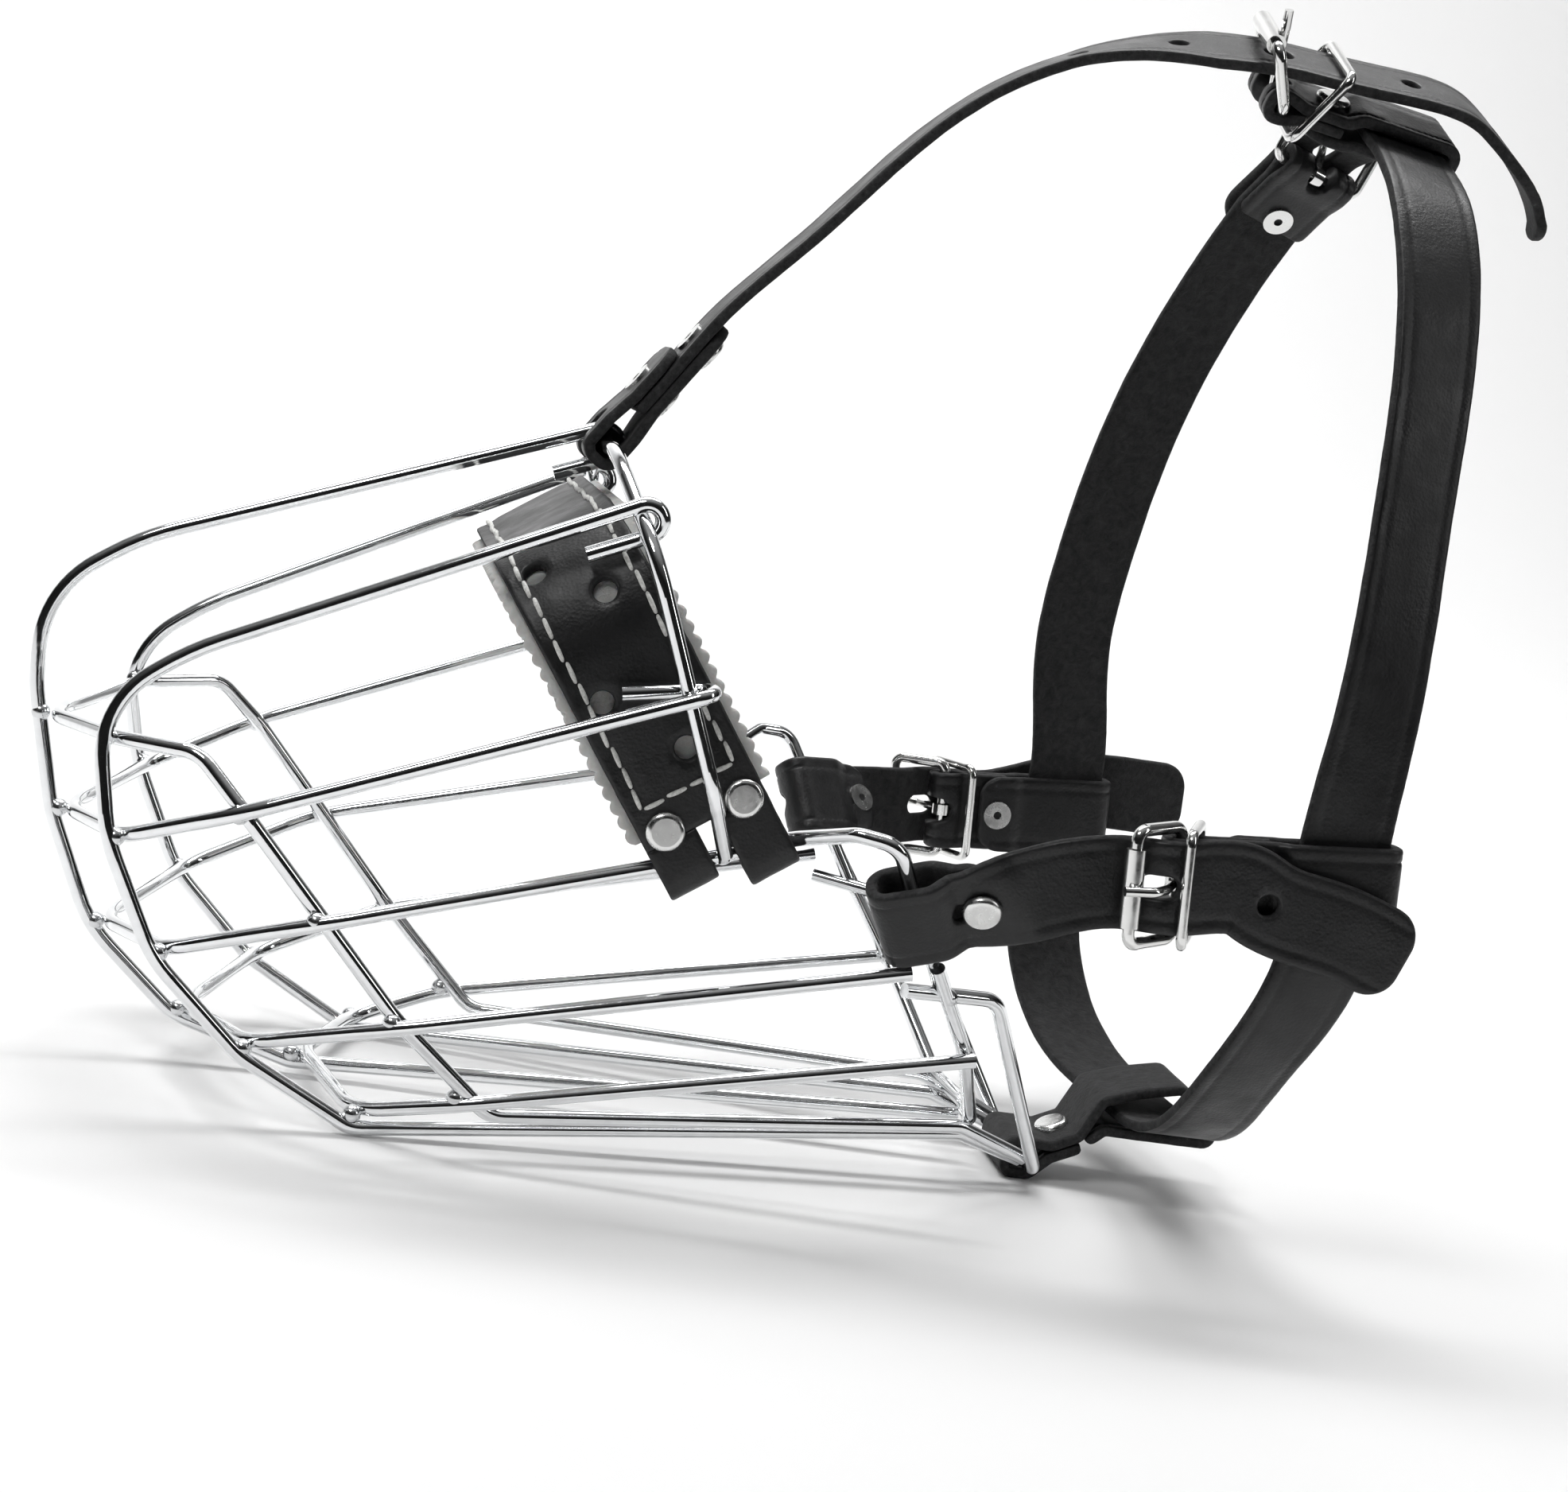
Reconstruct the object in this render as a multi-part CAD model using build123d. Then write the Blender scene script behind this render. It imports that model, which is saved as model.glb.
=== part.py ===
from build123d import *
import math
import os

# Wire basket muzzle with a leather harness, in millimetres.
# +Z up, nose towards -X, the dog's left side towards -Y. The muzzle stands on the front
# corner of the basket and on the fold of the chin strap, at Z = 0. The origin is on the floor
# under the middle of the whole object.

# ---- driving dimensions -------------------------------------------------------------------
WIRE_D = 3.2             # basket wire
WELD_D = 4.0             # weld bead at a crossing
STRAP_W = 19.0           # every strap is cut from 3/4 inch leather
LEATHER_T = 2.4          # strap thickness
HOLE_D = 5.0             # punched adjusting hole
PLAY = 0.3               # play between leather and what it holds

BUCKLE_WIRE_D = 2.6      # buckle frame
BUCKLE_IN = 20.6         # inside width of a buckle frame
ROLLER_D = 4.2
ROLLER_PLAY = 0.05       # radial play of a roller on its frame
PRONG_D = 2.0
KEEPER_WIRE_D = 2.2
RIVET_D = 8.2            # rivet cap
RIVET_BACK_D = 7.0
RIVET_CAP_H = 1.5

PAD_W = 27.0             # nose pad, along the nose
PAD_HALF_Y = 53.2        # outer face of the pad's sides
PAD_CORNER_R = 26.0
PAD_DROP = 64.5          # crown to the notch between the lugs
LUG_W = 10.6
FELT_T = 2.8
FELT_MARGIN = 2.0        # felt that shows past the leather's edges
LUG_GAP = 5.0            # notch between two lugs, where the arch lands

R = WIRE_D / 2
HALF_T = LEATHER_T / 2

# ---- places in the basket (x, z are shared by both sides; y is the half width) ---------------
# crossings of the five rings with the centre wire, the side wires and the first ring's diagonals
CENTRE = {1: (-152.0, 0, 72.0), 2: (-145.5, 0, 52.0), 3: (-134.5, 0, 28.5), 4: (-114.5, 0, 11.5),
          5: (-88.8, 0, 4.8)}
SIDE = {1: (-135.6, 36.0, 75.8), 2: (-131.0, 39.5, 56.5), 3: (-119.3, 38.0, 33.8),
        4: (-99.8, 36.5, 15.8), 5: (-75.6, 35.7, 4.6)}
DIAGONAL = {1: (-116.7, 46.7, 77.5), 2: (-107.5, 52.0, 67.2), 3: (-89.6, 51.5, 47.9),
            4: (-71.4, 49.0, 28.7), 5: (-55.5, 41.5, 12.6)}
HEART = Vector(-60, 0, 70)              # a point inside the basket, to tell inwards from outwards

ARCH_TOP = (-43.8, 0, 148.0)
ARCH_SHOULDER = (-38.5, 50.0, 137.0)
ARCH_SIDE = (-24.0, 58.4, 106.0)
ARCH_FOOT = (-11.0, 51.7, 73.0)
RING3_WELD = (-11.0, 48.5, 72.4)
RING3_LUG = (2.5, 48.4, 77.8)
CHEEK_TOP = (13.0, 61.0, 83.0)
CHEEK_BEND = (21.0, 64.0, 82.5)
CHEEK_LOW = (39.5, 48.8, 51.0)
RIM_SIDE = (50.3, 39.0, 35.3)
RIM_CORNER = (61.0, 17.0, 14.5)
BRACKET_CUT = (31.0, 51.5, 50.5)
BRACKET_BEND = (53.5, 43.0, 49.0)
BRACKET_TIP = (78.0, 17.0, 4.9)

# ---- harness ----------------------------------------------------------------------------------
COLLAR_NEAR_X = 112.0
COLLAR_FAR_X = 94.0
COLLAR_TOP = Vector(117.8, 0, 245.1)
COLLAR_TOP_WAY = Vector(0.048, 0.906, 0.417)      # the collar climbs to the far side at the top
TOP_BAR = Vector(88.5, 0, 248.5)
COLLAR_BAR = Vector(112.0, 27.8, 235.8)
NEAR_BAR = Vector(78.3, -66.5, 84.0)
FAR_BAR = Vector(64.0, 66.5, 69.0)
# how far each roller stands from its bar, along the strap and out of it
REACH = {"top": 7.0, "near": 11.4, "far": 11.4, "collar": 11.4}
RISE = {"top": 12.2, "near": 6.8, "far": 6.8, "collar": 6.8}
# bar to the middle of the collar
TO_COLLAR = {"top": 29.5, "near": COLLAR_NEAR_X - 78.3, "far": COLLAR_FAR_X - 64.0}
CHEEK_LOOP_AT = 0.46       # how far down the cheek wire its strap sits
NEAR_TAIL = [Vector(95.0, -72.0, 83.6), Vector(111.5, -72.9, 80.2), Vector(126.0, -74.4, 75.6)]
FAR_TAIL = [Vector(94.0, 72.8, 76.4), Vector(129.5, 76.0, 78.8)]
# the forehead strap's middle line from its first rise to the tip of its tail
FOREHEAD_RISE = [(-8, 0, 198.5), (9.5, 0, 220.5), (27, 0, 237.5), (45.6, -0.5, 248.2), (62, -1.5, 253.2)]
OVER_TOP = [(75, -3, 254.9), (84, -3.5, 255.5), (97, -4, 255.2), (112, -4, 254.9), (123, -4, 254.6)]
TOP_TAIL = [(131, -4, 253.0), (138.5, -4, 248.4), (146, -4, 242.3), (151.0, -4, 236.6), (153.6, -4, 229.8)]
RIVET_BEHIND_BAR = 13.0

os.makedirs("parts", exist_ok=True)


# ---- small tools --------------------------------------------------------------------------------
def mirrored(points):
    """A half path, from one side to the middle, continued to the other side."""
    back = [(p[0], -p[1], p[2]) for p in reversed(points)]
    return list(points) + (back[1:] if abs(points[-1][1]) < 1e-6 else back)


def shifted(p, amount):
    """p moved outwards (or inwards, when negative) from the basket's heart."""
    out = (Vector(*p) - HEART).normalized()
    return tuple(Vector(*p) + out * amount)


def rod(points, radius, bend):
    """A bent wire: straight runs joined by tangent arcs."""
    path = FilletPolyline(*points, radius=bend) if len(points) > 2 else Line(*points)
    section = Plane(origin=path @ 0, z_dir=path % 0) * Circle(radius)
    return sweep(section, path=path)


def band(path, across, width=STRAP_W, thick=LEATHER_T):
    """A flat strap along a path; across is the strap's width direction at the start."""
    section = Plane(origin=path @ 0, x_dir=across, z_dir=path % 0) * Rectangle(width, thick)
    return sweep(section, path=path)


def mixed(a, b, amount):
    """Between two directions; amount is held between 0 and 1."""
    amount = min(1.0, max(0.0, amount))
    return Vector(*a) * (1 - amount) + Vector(*b) * amount


def stepped(turns):
    """Width directions given at even steps along a strap."""
    def turn(t, spot):
        step = min(int(t * (len(turns) - 1)), len(turns) - 2)
        return mixed(turns[step], turns[step + 1], t * (len(turns) - 1) - step)
    return turn


def ribbon(path, turn, sections):
    """A flat strap along a free curve; turn gives its width direction at each place."""
    faces = []
    for i in range(sections + 1):
        t = i / sections
        width_dir = turn(t, path @ t)
        along = path % t
        width_dir = (width_dir - along * width_dir.dot(along)).normalized()
        frame = Plane(origin=path @ t, x_dir=width_dir, z_dir=along)
        faces.append(frame * Rectangle(STRAP_W, LEATHER_T))
    return loft(faces)


# ---- basket ---------------------------------------------------------------------------------------
def hook_points(at, direction, length, drop):
    """The end of a wire bent round the arch: it passes outside, turns under and comes back inside."""
    a = Vector(*at)
    d = Vector(*direction).normalized()
    down = Vector(*drop).normalized()
    pitch = 2 * R + 0.1
    over = a - down * pitch
    under = a + down * pitch
    past = d * (pitch + 0.1)
    return [tuple(under - d * length), tuple(under + past), tuple(over + past)]


def centre_wire():
    hook = hook_points(ARCH_TOP, (0.91, 0, 0.41), 12, (0.41, 0, -0.91))
    front = [(-136.0, 0, 112.5), (-155.0, 0, 98.0), (-153.8, 0, 78.0)]
    low = [shifted(CENTRE[k], R) for k in (2, 3, 4)]
    points = hook + front + low + [(-88.8, 0, 3.0), (63.0, 0, 10.4)]
    return rod(points, R, [3.1, 3.1, 60, 24, 40, 30, 30, 14, 8])


def side_wire(side):
    hook = hook_points(ARCH_SHOULDER, (0.9, 0.02, 0.44), 13, (0.42, -0.15, -0.9))
    front = [(-122.0, 37.0, 95.5), (-138.2, 36.5, 82.0), shifted(SIDE[2], R)]
    low = [shifted(SIDE[k], R) for k in (3, 4)]
    points = hook + front + low + [(-75.6, 36.0, 1.7), (60.0, 14.5, 10.5), (75.5, 12.3, 5.6)]
    points = [(x, side * y, z) for x, y, z in points]
    return rod(points, R, [3.1, 3.1, 60, 20, 30, 30, 16, 8, 5])


def ring_1():
    legs = [(75.5, 15.6, 7.0), (58.5, 19.0, 13.5), (-48.0, 39.5, 9.0)]
    diagonal = [shifted(DIAGONAL[4], -R), shifted(DIAGONAL[2], -R)]
    top = [(-117.0, 46.0, 77.0), shifted(SIDE[1], -R), shifted(CENTRE[1], -R)]
    points = mirrored(legs + diagonal + top)
    bends = [6, 8, 20, 12, 8, 12, 22]
    return rod(points, R, bends + bends[-2::-1])


def ring_2():
    a = Vector(*ARCH_SIDE)
    pitch = 2 * R + 0.1
    hook = [(a.X - 14, a.Y - pitch + 0.2, a.Z - 3.0), (a.X + 3.5, a.Y - pitch + 0.2, a.Z + 0.4),
            (a.X + 3.5, a.Y + pitch - 0.2, a.Z + 0.4)]
    points = mirrored(hook + [shifted(DIAGONAL[2], R), shifted(SIDE[2], -R), shifted(CENTRE[2], -R)])
    bends = [3.0, 3.0, 30, 14, 24]
    return rod(points, R, bends + bends[-2::-1])


def ring_3():
    rear = [CHEEK_LOW, CHEEK_BEND, CHEEK_TOP, RING3_LUG, RING3_WELD, shifted(DIAGONAL[3], R)]
    points = mirrored(rear + [shifted(SIDE[3], -R), shifted(CENTRE[3], -R)])
    bends = [5, 4, 5, 20, 30, 14, 22]
    return rod(points, R, bends + bends[-2::-1])


def ring_4():
    points = mirrored([(31.0, 54.5, 55.0), shifted(DIAGONAL[4], R), shifted(SIDE[4], -R),
                       shifted(CENTRE[4], -R)])
    bends = [30, 14, 22]
    return rod(points, R, bends + bends[-2::-1])


def ring_5():
    points = mirrored([(51.5, 39.5 + WIRE_D, 35.3), shifted(DIAGONAL[5], R), (-75.6, 34.0, 4.8),
                       (-86.5, 0, 6.1)])
    bends = [30, 14, 20]
    return rod(points, R, bends + bends[-2::-1])


def arch():
    points = mirrored([ARCH_FOOT, (-17.0, 58.4, 87.0), (-36.5, 58.4, 131.5), (-44.6, 33.0, 148.6),
                       ARCH_TOP])
    bends = [20, 17, 24, 20]
    return rod(points, R, bends + bends[-2::-1])


def lower_rim():
    points = mirrored([(36.5, 53.5, 56.5), RIM_SIDE, RIM_CORNER, (64.0, 0, 13.6)])
    bends = [30, 10, 12]
    return rod(points, R, bends + bends[-2::-1])


def chin_bracket():
    points = mirrored([BRACKET_CUT, BRACKET_BEND, BRACKET_TIP])
    bends = [7, 5]
    return rod(points, R, bends + bends[::-1])


def weld_beads():
    """One small bead at each crossing of a ring with a long wire."""
    spots = [CENTRE[k] for k in CENTRE]
    for sign in (1, -1):
        spots += [(SIDE[k][0], sign * SIDE[k][1], SIDE[k][2]) for k in SIDE]
        spots += [(DIAGONAL[k][0], sign * DIAGONAL[k][1], DIAGONAL[k][2]) for k in (2, 3, 4, 5)]
        spots += [(x, sign * y, z) for x, y, z in (RING3_WELD, RIM_SIDE, (41.5, 48.2, 49.4))]
    return Compound([Pos(*p) * Sphere(WELD_D / 2) for p in spots])


# ---- nose pad ---------------------------------------------------------------------------------------
PAD_LEAN = 37.0          # the pad's width rises towards the rear
PAD_CROWN = Vector(-55.0, 0, 131.0)
FRONT_LUG_END = 75.5     # lowest point of each lug, down from the crown
REAR_LUG_END = 80.5
LUG_FLAP_TOP = 56.5
LUG_DEPTH = 6.8          # between the middles of a lug's two layers
PAD_HOLES = ((-7.5, 6.0), (3.3, 14.0), (-7.5, 33.0), (3.3, 49.0))
PAD_PLANE = Plane(origin=PAD_CROWN, x_dir=(0, 1, 0),
                  z_dir=(math.cos(math.radians(PAD_LEAN)), 0, math.sin(math.radians(PAD_LEAN))))


def saddle(outer, thick, drop, width):
    """An upside-down U: two straight sides and a round crown, as wide as width along the nose."""
    corner = PAD_CORNER_R - (PAD_HALF_Y - outer)
    top = outer - PAD_HALF_Y
    line = FilletPolyline((-outer, -drop), (-outer, top), (outer, top), (outer, -drop), radius=corner)
    inside = FilletPolyline((-outer + thick, -drop), (-outer + thick, top - thick),
                            (outer - thick, top - thick), (outer - thick, -drop),
                            radius=corner - thick)
    ends = [Line(line @ 0, inside @ 0), Line(line @ 1, inside @ 1)]
    face = make_face([*line.edges(), *inside.edges(), *[e.edge() for e in ends]])
    return extrude(PAD_PLANE * face, amount=width / 2, both=True)


def pad_lug(side, along, drop):
    """A leather end that folds inwards round the third ring and comes back up inside."""
    y = PAD_HALF_Y - HALF_T
    inner = y - LUG_DEPTH
    path = FilletPolyline((side * y, -PAD_DROP + 0.5), (side * y, -drop), (side * inner, -drop),
                          (side * inner, -LUG_FLAP_TOP), radius=(y - inner) / 2 - 0.02)
    return band(PAD_PLANE.offset(along) * path, PAD_PLANE.z_dir, LUG_W)


def pad_hole(side, along, down):
    """A punched hole, square to the curved leather, at a height down from the crown."""
    centre_y = PAD_HALF_Y - PAD_CORNER_R
    rise = max(0.0, PAD_CORNER_R - down)
    tilt = math.degrees(math.asin(rise / PAD_CORNER_R))
    y = centre_y + PAD_CORNER_R * math.cos(math.radians(tilt))
    spot = PAD_PLANE.offset(along).location * Pos(side * y, -down, 0)
    return spot * Rot(0, 0, side * tilt) * Rot(0, 90, 0) * Cylinder(HOLE_D / 2, 4 * LEATHER_T)


def pad_leather():
    body = saddle(PAD_HALF_Y, LEATHER_T, PAD_DROP, PAD_W)
    shift = (LUG_W + LUG_GAP) / 2
    for side in (1, -1):
        body += pad_lug(side, -shift, FRONT_LUG_END)
        body += pad_lug(side, shift, REAR_LUG_END)
        for along, down in PAD_HOLES:
            body -= pad_hole(side, along, down)
    return body


def pad_felt():
    return saddle(PAD_HALF_Y - LEATHER_T - 0.05, FELT_T, PAD_DROP - 2, PAD_W + 2 * FELT_MARGIN)


def rivet(length):
    """A cap rivet on its axis, cap at the top: shank, domed cap and tubular back."""
    cap = Pos(0, 0, length / 2 + RIVET_CAP_H / 2) * Cylinder(RIVET_D / 2, RIVET_CAP_H)
    cap = fillet(cap.edges().group_by(Axis.Z)[-1], RIVET_CAP_H * 0.8)
    shank = Cylinder(1.5, length)
    back = Pos(0, 0, -length / 2 - 0.4) * Cylinder(RIVET_BACK_D / 2, 0.8)
    return cap + shank + back - Pos(0, 0, -length / 2) * Cylinder(1.0, 4)


def pad_rivets():
    length = LUG_DEPTH + LEATHER_T
    made = []
    for side in (1, -1):
        for along, down in ((-8.2, 62.0), (8.8, 63.5)):
            spot = PAD_PLANE.offset(along).location * Pos(side * (PAD_HALF_Y - length / 2), -down, 0)
            made.append(spot * Rot(0, 90 * side, 0) * rivet(length + 0.1))
    return Compound(made)


# ---- buckles, keepers and tabs, in the buckle's own frame --------------------------------------------
# origin at the middle of the bar, +X towards the roller, +Y along the bar, +Z out of the strap
def buckle_frame(name):
    half = BUCKLE_IN / 2 + BUCKLE_WIRE_D / 2
    reach, rise = REACH[name], RISE[name]
    corners = [(0, half, 0), (reach, half, rise), (reach, -half, rise), (0, -half, 0)]
    path = FilletPolyline(*corners, radius=2.4, close=True)
    section = Plane(origin=path @ 0, z_dir=path % 0) * Circle(BUCKLE_WIRE_D / 2)
    return sweep(section, path=path)


def roller(name):
    tube = Cylinder(ROLLER_D / 2, BUCKLE_IN - 4.6)
    tube -= Cylinder(BUCKLE_WIRE_D / 2 + ROLLER_PLAY, BUCKLE_IN)
    return Pos(REACH[name], 0, RISE[name]) * Rot(90, 0, 0) * tube


def prong(name):
    """An eye round the bar and a pin that rises through the strap's hole and rests on the roller."""
    eye_r = BUCKLE_WIRE_D / 2 + 0.06
    eye = Cylinder(eye_r + 1.1, 2.6) - Cylinder(eye_r, 4)
    top = RISE[name] + ROLLER_D / 2 + PRONG_D / 2 + 0.15
    line = [(1.4, 0, 1.5), (4.4, 0, 6.8), (7.6, 0, top), (REACH[name] + 2.6, 0, top)]
    if name == "top":
        line = [(1.0, 0, 1.6), (2.8, 0, 8.6), (3.9, 0, 14.0), (5.0, 0, 18.0)]
    path = FilletPolyline(*line, radius=3)
    section = Plane(origin=path @ 0, z_dir=path % 0) * Circle(PRONG_D / 2)
    return Rot(90, 0, 0) * eye + sweep(section, path=path)


def keeper(name):
    """A closed wire loop round the strap's layers; it leans along the strap."""
    half = BUCKLE_IN / 2 + KEEPER_WIRE_D / 2
    low = KEEPER_LOW - KEEPER_WIRE_D / 2
    high = KEEPER_HIGH[name] + KEEPER_WIRE_D / 2
    back, front = KEEPER_BACK[name], KEEPER_FRONT[name]
    corners = [(back, half, low), (front, half, high), (front, -half, high), (back, -half, low)]
    path = FilletPolyline(*corners, radius=2.2, close=True)
    section = Plane(origin=path @ 0, z_dir=path % 0) * Circle(KEEPER_WIRE_D / 2)
    return sweep(section, path=path)


FOLD_R = BUCKLE_WIRE_D / 2 + 0.15 + HALF_T      # leather's middle round the buckle bar
PINCH = HALF_T + 0.05                           # half the distance between two riveted layers
FLAP_END = -8.6                                 # the flap stops short of the keeper
CAVITY = HALF_T + HALF_T + PLAY + 0.3          # layer's middle from the collar's middle


def tab(name):
    """The leather loop that holds a buckle bar and goes round the collar; its flap is riveted inside."""
    far_end = -TO_COLLAR[name] - STRAP_W / 2 - 2.4
    start = -TO_COLLAR[name] + STRAP_W / 2 + 1.8
    line = [(start + 3, -PINCH), (-5.5, -PINCH), (-1, -FOLD_R), (FOLD_R, -FOLD_R), (FOLD_R, FOLD_R),
            (-1, FOLD_R), (-5.5, PINCH), (start + 2.5, PINCH), (start - 0.5, CAVITY),
            (far_end, CAVITY), (far_end, -CAVITY), (start - 0.5, -CAVITY), (start + 1.5, -3 * PINCH),
            (FLAP_END, -3 * PINCH)]
    outline = FilletPolyline(*line, radius=[3, 3, 1.9, 1.9, 3, 3, 3, 3, 2.4, 2.4, 3, 3])
    body = band(Plane.XZ * outline, (0, 1, 0))
    slot = Pos(0.5, 0, 2) * Box(9.5, 4.2, 13)
    return body - slot


def tab_rivet():
    return Pos(-RIVET_BEHIND_BAR, 0, -PINCH) * rivet(3 * LEATHER_T + 0.2)


def collar_rivet():
    return Pos(-RIVET_BEHIND_BAR, 0, 0) * rivet(2 * LEATHER_T + 0.1)


# ---- where the buckles sit --------------------------------------------------------------------------
def buckle_place(origin, towards_roller, outwards):
    return Plane(origin=origin, x_dir=towards_roller, z_dir=outwards).location


PLACES = {
    "top": buckle_place(TOP_BAR, (-0.993, 0, 0.115), (0.105, -0.42, 0.90)),
    "near": buckle_place(NEAR_BAR, (-0.995, 0, -0.10), (0, -1, 0)),
    "far": buckle_place(FAR_BAR, (-0.995, 0, -0.10), (0, 1, 0)),
    "collar": buckle_place(COLLAR_BAR, (0.33, -0.62, 0.71), (0, 0.753, 0.658)),
}
UNDER_ROLLER = 6.8 - ROLLER_D / 2 - HALF_T - 2 * PLAY      # strap's middle under a roller
OVER_BAR = FOLD_R + 2 * HALF_T + PLAY                    # over the bar's leather fold
OVER_PINCH = PINCH + 2 * HALF_T + PLAY + RIVET_CAP_H     # over the rivet behind the bar
OVER_COLLAR = CAVITY + 2 * HALF_T + 2 * PLAY                 # over the tab where it holds the collar
KEEPER_LOW = -FOLD_R - HALF_T - PLAY
KEEPER_HIGH = {"top": 10.4, "near": 7.2, "far": 7.2}
KEEPER_BACK = {"top": -4.2, "near": -5.8, "far": -5.8}
KEEPER_FRONT = {"top": -10.8, "near": 0.8, "far": 0.8}


def at(place, along, up):
    """A point in a buckle's frame, on the strap's middle line."""
    return (place * Pos(along, 0, up)).position


def across_of(place):
    return Plane(place).y_dir


def prong_slot(name):
    if name == "top":
        return PLACES[name] * Pos(2.2, 0, 9.5) * Box(7.0, 3.6, 9)
    return PLACES[name] * Pos(4.8, 0, 4) * Box(9.6, 3.6, 14)


def through_buckle(name):
    """The strap's middle line from in front of the roller to behind the rivet."""
    place = PLACES[name]
    reach = REACH[name]
    return [at(place, reach + 3, UNDER_ROLLER), at(place, reach, UNDER_ROLLER),
            at(place, 3.5, OVER_BAR + 0.1), at(place, 0, OVER_BAR),
            at(place, -RIVET_BEHIND_BAR, OVER_PINCH)]


# ---- cheek straps ---------------------------------------------------------------------------------
def loop_plane(name, side):
    """The frame of a cheek strap's fold round the cheek wire: +X to the buckle, +Y outwards."""
    top = Vector(CHEEK_BEND[0], side * CHEEK_BEND[1], CHEEK_BEND[2])
    low = Vector(CHEEK_LOW[0], side * CHEEK_LOW[1], CHEEK_LOW[2])
    wire = top + (low - top) * CHEEK_LOOP_AT
    aim = (through_buckle(name)[0] - wire).normalized()
    along = (low - top) * -side
    width_dir = (along - aim * along.dot(aim)).normalized()
    plane = Plane(origin=wire, x_dir=aim, z_dir=width_dir)
    return Plane(origin=plane.from_local_coords((-8.0, PINCH, 0)), x_dir=aim, z_dir=width_dir)


def cheek_strap(side, name, tail):
    """The adjusting strap: folded round the cheek wire, riveted, and led through the buckle."""
    place = PLACES[name]
    plane = loop_plane(name, side)
    hold = R + 1.2 + HALF_T
    fold = [(24, -2 * PINCH), (17.5, -2 * PINCH), (12.5, -hold - PINCH), (0, -hold - PINCH),
            (0, hold - PINCH), (12, hold - PINCH), (16, 0), (19, 0)]
    outline = FilletPolyline(*fold, radius=[4, 4, 3.4, 3.4, 4, 4])
    loop = band(plane * outline, plane.z_dir)
    path = Spline(plane.from_local_coords((18, 0, 0)), *through_buckle(name), *tail,
                  tangents=[plane.x_dir, tail[-1] - tail[-2]])
    level = across_of(place) * (1 if across_of(place).dot(plane.z_dir) > 0 else -1)
    return ribbon(path, stepped((plane.z_dir, *[level] * 8)), 48) + loop - prong_slot(name)


def cheek_strap_rivet(name, side):
    plane = loop_plane(name, side)
    spot = Plane(origin=plane.from_local_coords((21.0, -PINCH, 0)), x_dir=plane.x_dir,
                 z_dir=plane.y_dir)
    return spot.location * rivet(2 * LEATHER_T + 0.1)


# ---- collar ---------------------------------------------------------------------------------------
COLLAR_TOP_ACROSS = (0.993, 0, -0.115)


def collar_turn(t, spot):
    """The collar's width direction: level at the sides, leaning with the buckle and the top tab."""
    if spot.Y > 0:
        leaning = mixed((1, 0, 0), across_of(PLACES["collar"]), (spot.Z - 150) / 60)
        return mixed(leaning, COLLAR_TOP_ACROSS, (24 - spot.Y) / 12 if spot.Z > 235 else 0)
    rise = min(1.0, max(0.0, (spot.Z - 98) / 136))
    dip = min(1.0, max(0.0, (72 - spot.Z) / 56))
    yaw = math.radians(15 * math.sin(math.pi * rise) + 7 * math.sin(math.pi * dip))
    return mixed((math.cos(yaw), math.sin(yaw), 0), COLLAR_TOP_ACROSS, (spot.Z - 212) / 25)


def collar_strap():
    """One strap round the neck; its tongue goes over the top and through the collar buckle."""
    place = PLACES["collar"]
    nx = COLLAR_NEAR_X
    fx = COLLAR_FAR_X
    tongue = [at(place, -24, OVER_PINCH + 0.4), *reversed(through_buckle("collar")[1:])]
    top = [COLLAR_TOP + COLLAR_TOP_WAY * 9, COLLAR_TOP, COLLAR_TOP - COLLAR_TOP_WAY * 9]
    near_side = [(116, -29, 231), (nx + 3, -50, 204), (nx + 1.5, -61.5, 164), (nx + 1, -66.3, 125),
                 (nx, -66.5, 101), (nx, -66.5, 87), (nx, -66.5, 73), (nx - 6, -57, 45),
                 (nx - 5, -32, 23.8)]
    bottom = [(107.5, -10, 17.3), (107.0, 0, 17.0), (106.0, 10, 17.0)]
    far_side = [(fx + 6, 35, 21.5), (fx + 1, 56, 37), (fx, 66.5, 58), (fx, 66.5, 72), (fx, 66.5, 86),
                (fx - 4.2, 66.3, 110), (fx - 4.5, 63, 141), (fx - 0.8, 57, 174), (fx + 5.6, 49, 202)]
    end = at(place, -RIVET_BEHIND_BAR - 2, PINCH)
    path = Spline(*tongue, *top, *near_side, *bottom, *far_side, end)
    outline = FilletPolyline((-RIVET_BEHIND_BAR - 1, PINCH), (-5.5, PINCH), (-1, FOLD_R),
                             (FOLD_R, FOLD_R), (FOLD_R, -FOLD_R), (-1, -FOLD_R), (-5.5, -PINCH),
                             (-RIVET_BEHIND_BAR - 3, -PINCH), radius=[3, 3, 1.9, 1.9, 3, 3])
    section_plane = Plane(origin=place.position, x_dir=Plane(place).x_dir, z_dir=-Plane(place).y_dir)
    fold = band(section_plane * outline, across_of(place))
    strap = ribbon(path, collar_turn, 72)
    slot = place * Pos(0.5, 0, 1.2) * Box(9.5, 4.2, 12)
    return strap + fold - prong_slot("collar") - slot


# ---- forehead strap -------------------------------------------------------------------------------
FOREHEAD_PLANE = Plane(origin=ARCH_TOP, x_dir=(0.534, 0, 0.845), z_dir=(0, 1, 0))
LAYER = 2 * HALF_T + 0.2


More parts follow.
